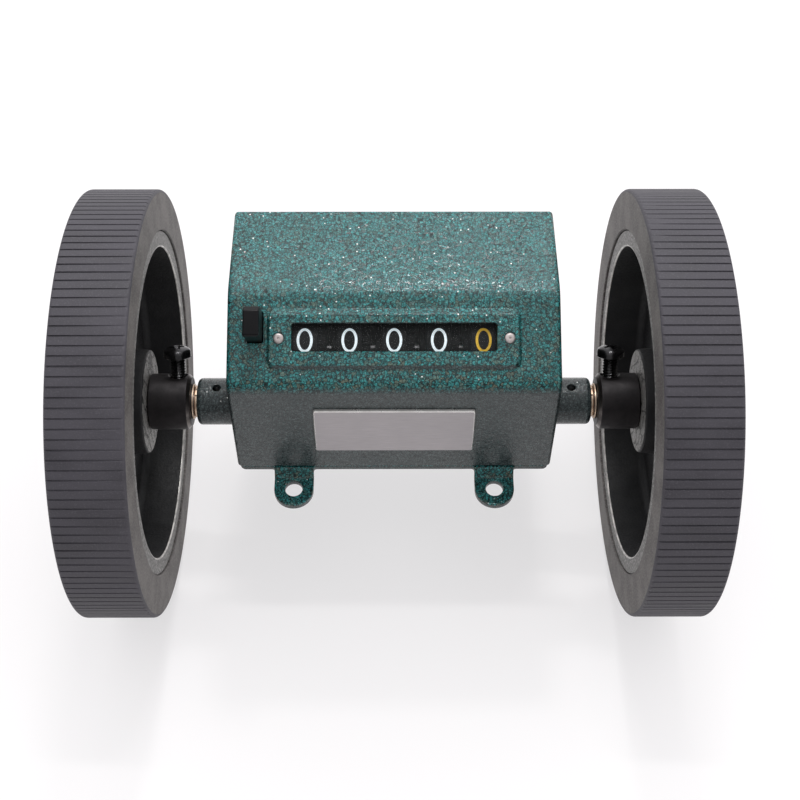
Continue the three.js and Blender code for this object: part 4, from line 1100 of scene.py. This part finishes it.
def collar_screw():
    """A cross-recessed pan-head screw, its thread cut as a true helix."""
    tip = SHAFT_RADIUS + 0.1
    under = SCREW_UNDER_HEAD
    top = under + SCREW_HEAD_HEIGHT
    head = SCREW_HEAD_RADIUS
    pitch, thread_depth, core = 0.7, 0.34, 1.93
    rows_per_turn = 7
    steps = 36
    rows = int((under - tip - 0.9) / pitch * rows_per_turn)
    profile = [(tip, 0), (tip, 1.4)]
    first = len(profile)
    profile += [(tip + 0.5 + k * pitch / rows_per_turn, core) for k in range(rows + 1)]
    last = len(profile) - 1
    profile += [(under, core), (under, head - 0.25), (under + 0.2, head)]
    profile += [(under + 1.2, head), (under + 1.75, head * 0.955), (under + 2.2, head * 0.8),
                (under + 2.48, head * 0.55), (top, head * 0.25), (top, 0)]
    threaded = {round(x, 4) for x, _ in profile[first:last]}

    def radius_at(step, x, radius):
        if round(x, 4) not in threaded:
            return radius
        phase = (x / pitch - step / steps) % 1.0
        return radius - thread_depth * (1 - abs(2 * phase - 1))

    body = upright(lathe(profile, steps, radius_at=radius_at))
    tools = []
    for turn in (0, math.pi / 2):
        layers = []
        for height, length, width in ((top - 1.5, 0.7, 0.45), (top + 0.3, 2.15, 0.56)):
            corners = [(-length, -width), (length, -width), (length, width), (-length, width)]
            layers.append([(u, v, height) for u, v in corners])
        arm = loft(layers)
        arm.transform(Matrix.Rotation(turn + math.radians(20), 4, "Z"))
        tools.append(arm)
    return moved(cut(body, *tools), x=SCREW_STATION)


def wheel_hub():
    """The dished hub: rim, drafted inner wall, web and boss."""
    start, end = HUB_LOW.x, HUB_HIGH.x
    bore = SPIGOT_RADIUS + 0.1
    draft = 0.7
    inner_web, outer_web = WEB_FACES
    corners = [
        (HUB_BOSS_FACE, bore, 0.2),
        (HUB_BOSS_FACE, HUB_BOSS_RADIUS - 0.1, 0.5),
        (inner_web, HUB_BOSS_RADIUS + draft, 1.6),
        (inner_web, RIM_INNER - draft, 2.2),
        (start, RIM_INNER, 0.35),
        (start, TYRE_SEAT, 0.25),
        (end, TYRE_SEAT, 0.25),
        (end, RIM_INNER, 0.35),
        (outer_web, RIM_INNER - draft, 1.0),
        (outer_web, bore, 0.2),
    ]
    body = lathe(list(reversed(filleted(corners, 5))), 160)

    def surface(middle):
        reach = middle.yz.length
        if reach < HUB_BOSS_RADIUS - 0.4 and middle.x < HUB_BOSS_FACE + 0.05:
            return 1
        # The rim's inner rounded edge: worn metal, painted pale as a highlight too.
        if reach < RIM_INNER + 0.34 and middle.x < start + 0.34:
            return 3
        return 2 if reach > RIM_INNER - 0.05 and not start + 0.3 <= middle.x <= end - 0.3 else 0

    return faced(body, surface)


def tyre():
    """The rubber tyre with fine grooves straight across the tread, here and there worn shallow
    on the side toward the housing."""
    start, end = TYRE_LOW.x, TYRE_HIGH.x
    seat = TYRE_SEAT + 0.12
    edge = 0.8
    tread = WHEEL_RADIUS
    depth = 0.34
    pitch = 360 / GROOVES
    half = 0.05
    wear = random.Random(5)
    offsets = (-0.5, -half * 2.1, -half, half, half * 2.1, 0.3)
    profile = [(start + 0.25, seat), (start, seat + 0.25), (start, tread - edge)]
    profile += arc((start + edge, tread - edge), (edge, edge), 180, -90, 4)[1:]
    profile += [(start + (end - start) * k / 4, tread) for k in (1, 2, 3)]
    profile += arc((end - edge, tread - edge), (edge, edge), 90, -90, 4)
    profile += [(end, seat + 0.25), (end - 0.25, seat)]
    solid = bmesh.new()
    rings = []
    for groove in range(GROOVES):
        worn = 0.45 + 0.3 * math.sin(2 * math.pi * 2 * groove / GROOVES) + wear.uniform(-0.2, 0.2)
        for k, offset in enumerate(offsets):
            angle = math.radians((groove + offset) * pitch)
            ring = []
            for x, radius in profile:
                left = 1 - worn * (end - x) / (end - start)
                limit = tread - depth * left if k in (2, 3) else tread
                reach = min(radius, limit)
                ring.append(solid.verts.new((x, reach * math.cos(angle), reach * math.sin(angle))))
            rings.append(ring)
    count = len(profile)
    for s, ring in enumerate(rings):
        beside = rings[(s + 1) % len(rings)]
        for k in range(count):
            after = (k + 1) % count
            face = solid.faces.new((ring[k], ring[after], beside[after], beside[k]))
            reach = max(profile[k][1], profile[after][1])
            face.material_index = 0 if reach > tread - edge * 0.75 else 1
    bmesh.ops.recalc_face_normals(solid, faces=solid.faces)
    return solid


# ---- assembly

def dress_inner_parts():
    """The working parts inside keep their shapes and take their finishes."""
    clips = [f"{rod}_clip_{side}" for rod in ("drum_shaft", "transfer_rod", "reset_rod")
             for side in ("left", "right")]
    finishes = {
        FRAME_SHEET: ["counter_frame_left", "counter_frame_right"],
        BRIGHT: ["drum_shaft", "reset_rod", "spring_peg", "reset_spring", "drive_gear_pin"] + clips,
        BRASS: ["drive_gear", "drum_input_gear", "drum_spacer_left", "drum_spacer_right"],
        ACETAL: ["idler_gear"] + [f"transfer_pinion_{k}" for k in range(1, DRUM_COUNT)],
        BLACK_STEEL: ["reset_lever", "transfer_rod"],
        PANE: ["window_pane"],
    }
    for material, names in finishes.items():
        for name in names:
            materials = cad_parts[name].data.materials
            materials.clear()
            materials.append(material)


def build_object():
    piece("cover", cover(), [PAINT], "housing", ["housing_shell"])
    piece("bottom_plate", base_plate(), [PAINT], "housing", ["base_plate"])
    piece("label_plate", name_plate(), [PLATE, PLATE_RIM], "housing", ["nameplate"])
    piece("key", reset_key(), [KEY_BLACK], "key", ["reset_key"])
    for side, sign in (("left", -1), ("right", 1)):
        head = laid(rivet(), sign * RIVET_STATION)
        piece(f"rivet_{side}", head, [RIVET_METAL], "housing", [f"window_rivet_{side}"])
    for name, (x, y) in SCREW_PLACES.items():
        low, high = box(name)
        screw = moved(countersunk_screw(high.z - low.z), x, y, low.z)
        piece(f"{name}_detail", screw, [BRIGHT], "housing", [name])
    for index in range(1, DRUM_COUNT + 1):
        ink = YELLOW_INK if index == DRUM_COUNT else WHITE_INK
        piece(f"drum_{index}", digit_drum(index), [DRUM_BLACK, ink], f"drum_{index}",
              [f"digit_drum_{index}"])
    piece("through_shaft", shaft(), [BRIGHT], "axle", ["main_shaft"])
    both_sides("bush", bush, [BRONZE, OIL_WAY_BLACK], "housing")
    both_sides("thrust_washer", thrust_washer, [BRONZE], "axle")
    both_sides("collar", collar, [BLACK_STEEL, WORN_STEEL], "axle", SCREW_LEAN)
    both_sides("collar_screw", collar_screw, [SCREW_BLACK], "axle", SCREW_LEAN)
    both_sides("wheel_hub", wheel_hub, [CAST, BROKEN, RIM, WORN_AND_HIGHLIT_EDGE], "axle")
    both_sides("tyre", tyre, [TREAD, FLANK], "axle")
    dress_inner_parts()


# ---- camera, floor and light

# The viewpoint: millimetres and degrees, in the frame's own axes.
CAMERA_PLACE = Vector((-0.9, -200.6, 288.3))
CAMERA_PITCH = 51.47
CAMERA_YAW = 0.36
CAMERA_ROLL = 0.21
CAMERA_LENS = 62.78
CAMERA_SHIFT = (0.0052, -0.1115)

# The room's brightness: its level at the horizon's sides, and how it grows along X, Y and Z.
ROOM_LEVEL = 0.84
ROOM_SLOPE = (0.14, 0.62, 0.42)
ROOM_DARKEST = 0.3
LAMP_TARGET = Vector((0, 0, 30))


def add_camera():
    data = bpy.data.cameras.new("camera")
    data.sensor_width = 36
    data.lens = CAMERA_LENS
    data.shift_x, data.shift_y = CAMERA_SHIFT
    data.clip_start = 0.01
    camera = linked(data, "camera")
    turn = Matrix.Rotation(math.radians(-CAMERA_YAW), 4, "Z")
    turn @= Matrix.Rotation(math.radians(90 - CAMERA_PITCH), 4, "X")
    turn @= Matrix.Rotation(math.radians(CAMERA_ROLL), 4, "Z")
    camera.matrix_world = Matrix.Translation(CAMERA_PLACE * MM) @ turn
    SCENE.camera = camera


def add_floor():
    """A pale table that gives off a little light of its own, on which the tyres stand."""
    plane = bmesh.new()
    bmesh.ops.create_grid(plane, x_segments=1, y_segments=1, size=4)
    floor = linked(mesh_of(plane, "floor"), "floor")
    floor.location.z = -WHEEL_RADIUS * MM
    surface = Finish("floor_white")
    haze = surface.noise(150.0, 2.0)
    surface.set(colour=surface.blend(haze, (0.37, 0.36, 0.36), (0.40, 0.39, 0.39)), roughness=0.7,
                specular=0.2, glow=(1.0, 0.99, 1.0), glow_strength=0.56)
    floor.data.materials.append(surface.material)


def add_lamp(name, place, size, power):
    """A soft box at a place in millimetres, turned to the object."""
    data = bpy.data.lights.new(name, "AREA")
    data.shape = "RECTANGLE"
    data.size, data.size_y = size[0] * MM, size[1] * MM
    data.energy = power
    lamp = linked(data, name)
    lamp.location = Vector(place) * MM
    direction = (LAMP_TARGET - Vector(place)).normalized()
    lamp.rotation_euler = direction.to_track_quat("-Z", "Y").to_euler()


def add_light():
    """A room that is brightest behind and above, and dark in front; and two lamps high behind."""
    world = bpy.data.worlds.new("studio")
    room = Nodes(world)
    direction = room.node("TexCoord").outputs["Generated"]
    slope = room.node("VectorMath", {0: direction, 1: ROOM_SLOPE}, operation="DOT_PRODUCT")
    level = room.node("Math", {0: slope.outputs["Value"], 1: ROOM_LEVEL}, operation="ADD")
    level = room.node("Math", {0: level.outputs[0], 1: ROOM_DARKEST}, operation="MAXIMUM")
    background = room.tree.nodes["Background"]
    room.feed(background.inputs["Color"], (0.985, 0.985, 1.0))
    room.feed(background.inputs["Strength"], level.outputs[0])
    SCENE.world = world
    add_lamp("far_lamp", (30, 560, 870), (100, 60), 1.8)
    add_lamp("near_strip", (35, 250, 960), (250, 28), 1.9)
    SCENE.view_settings.view_transform = "Standard"


build_object()
add_camera()
add_floor()
add_light()
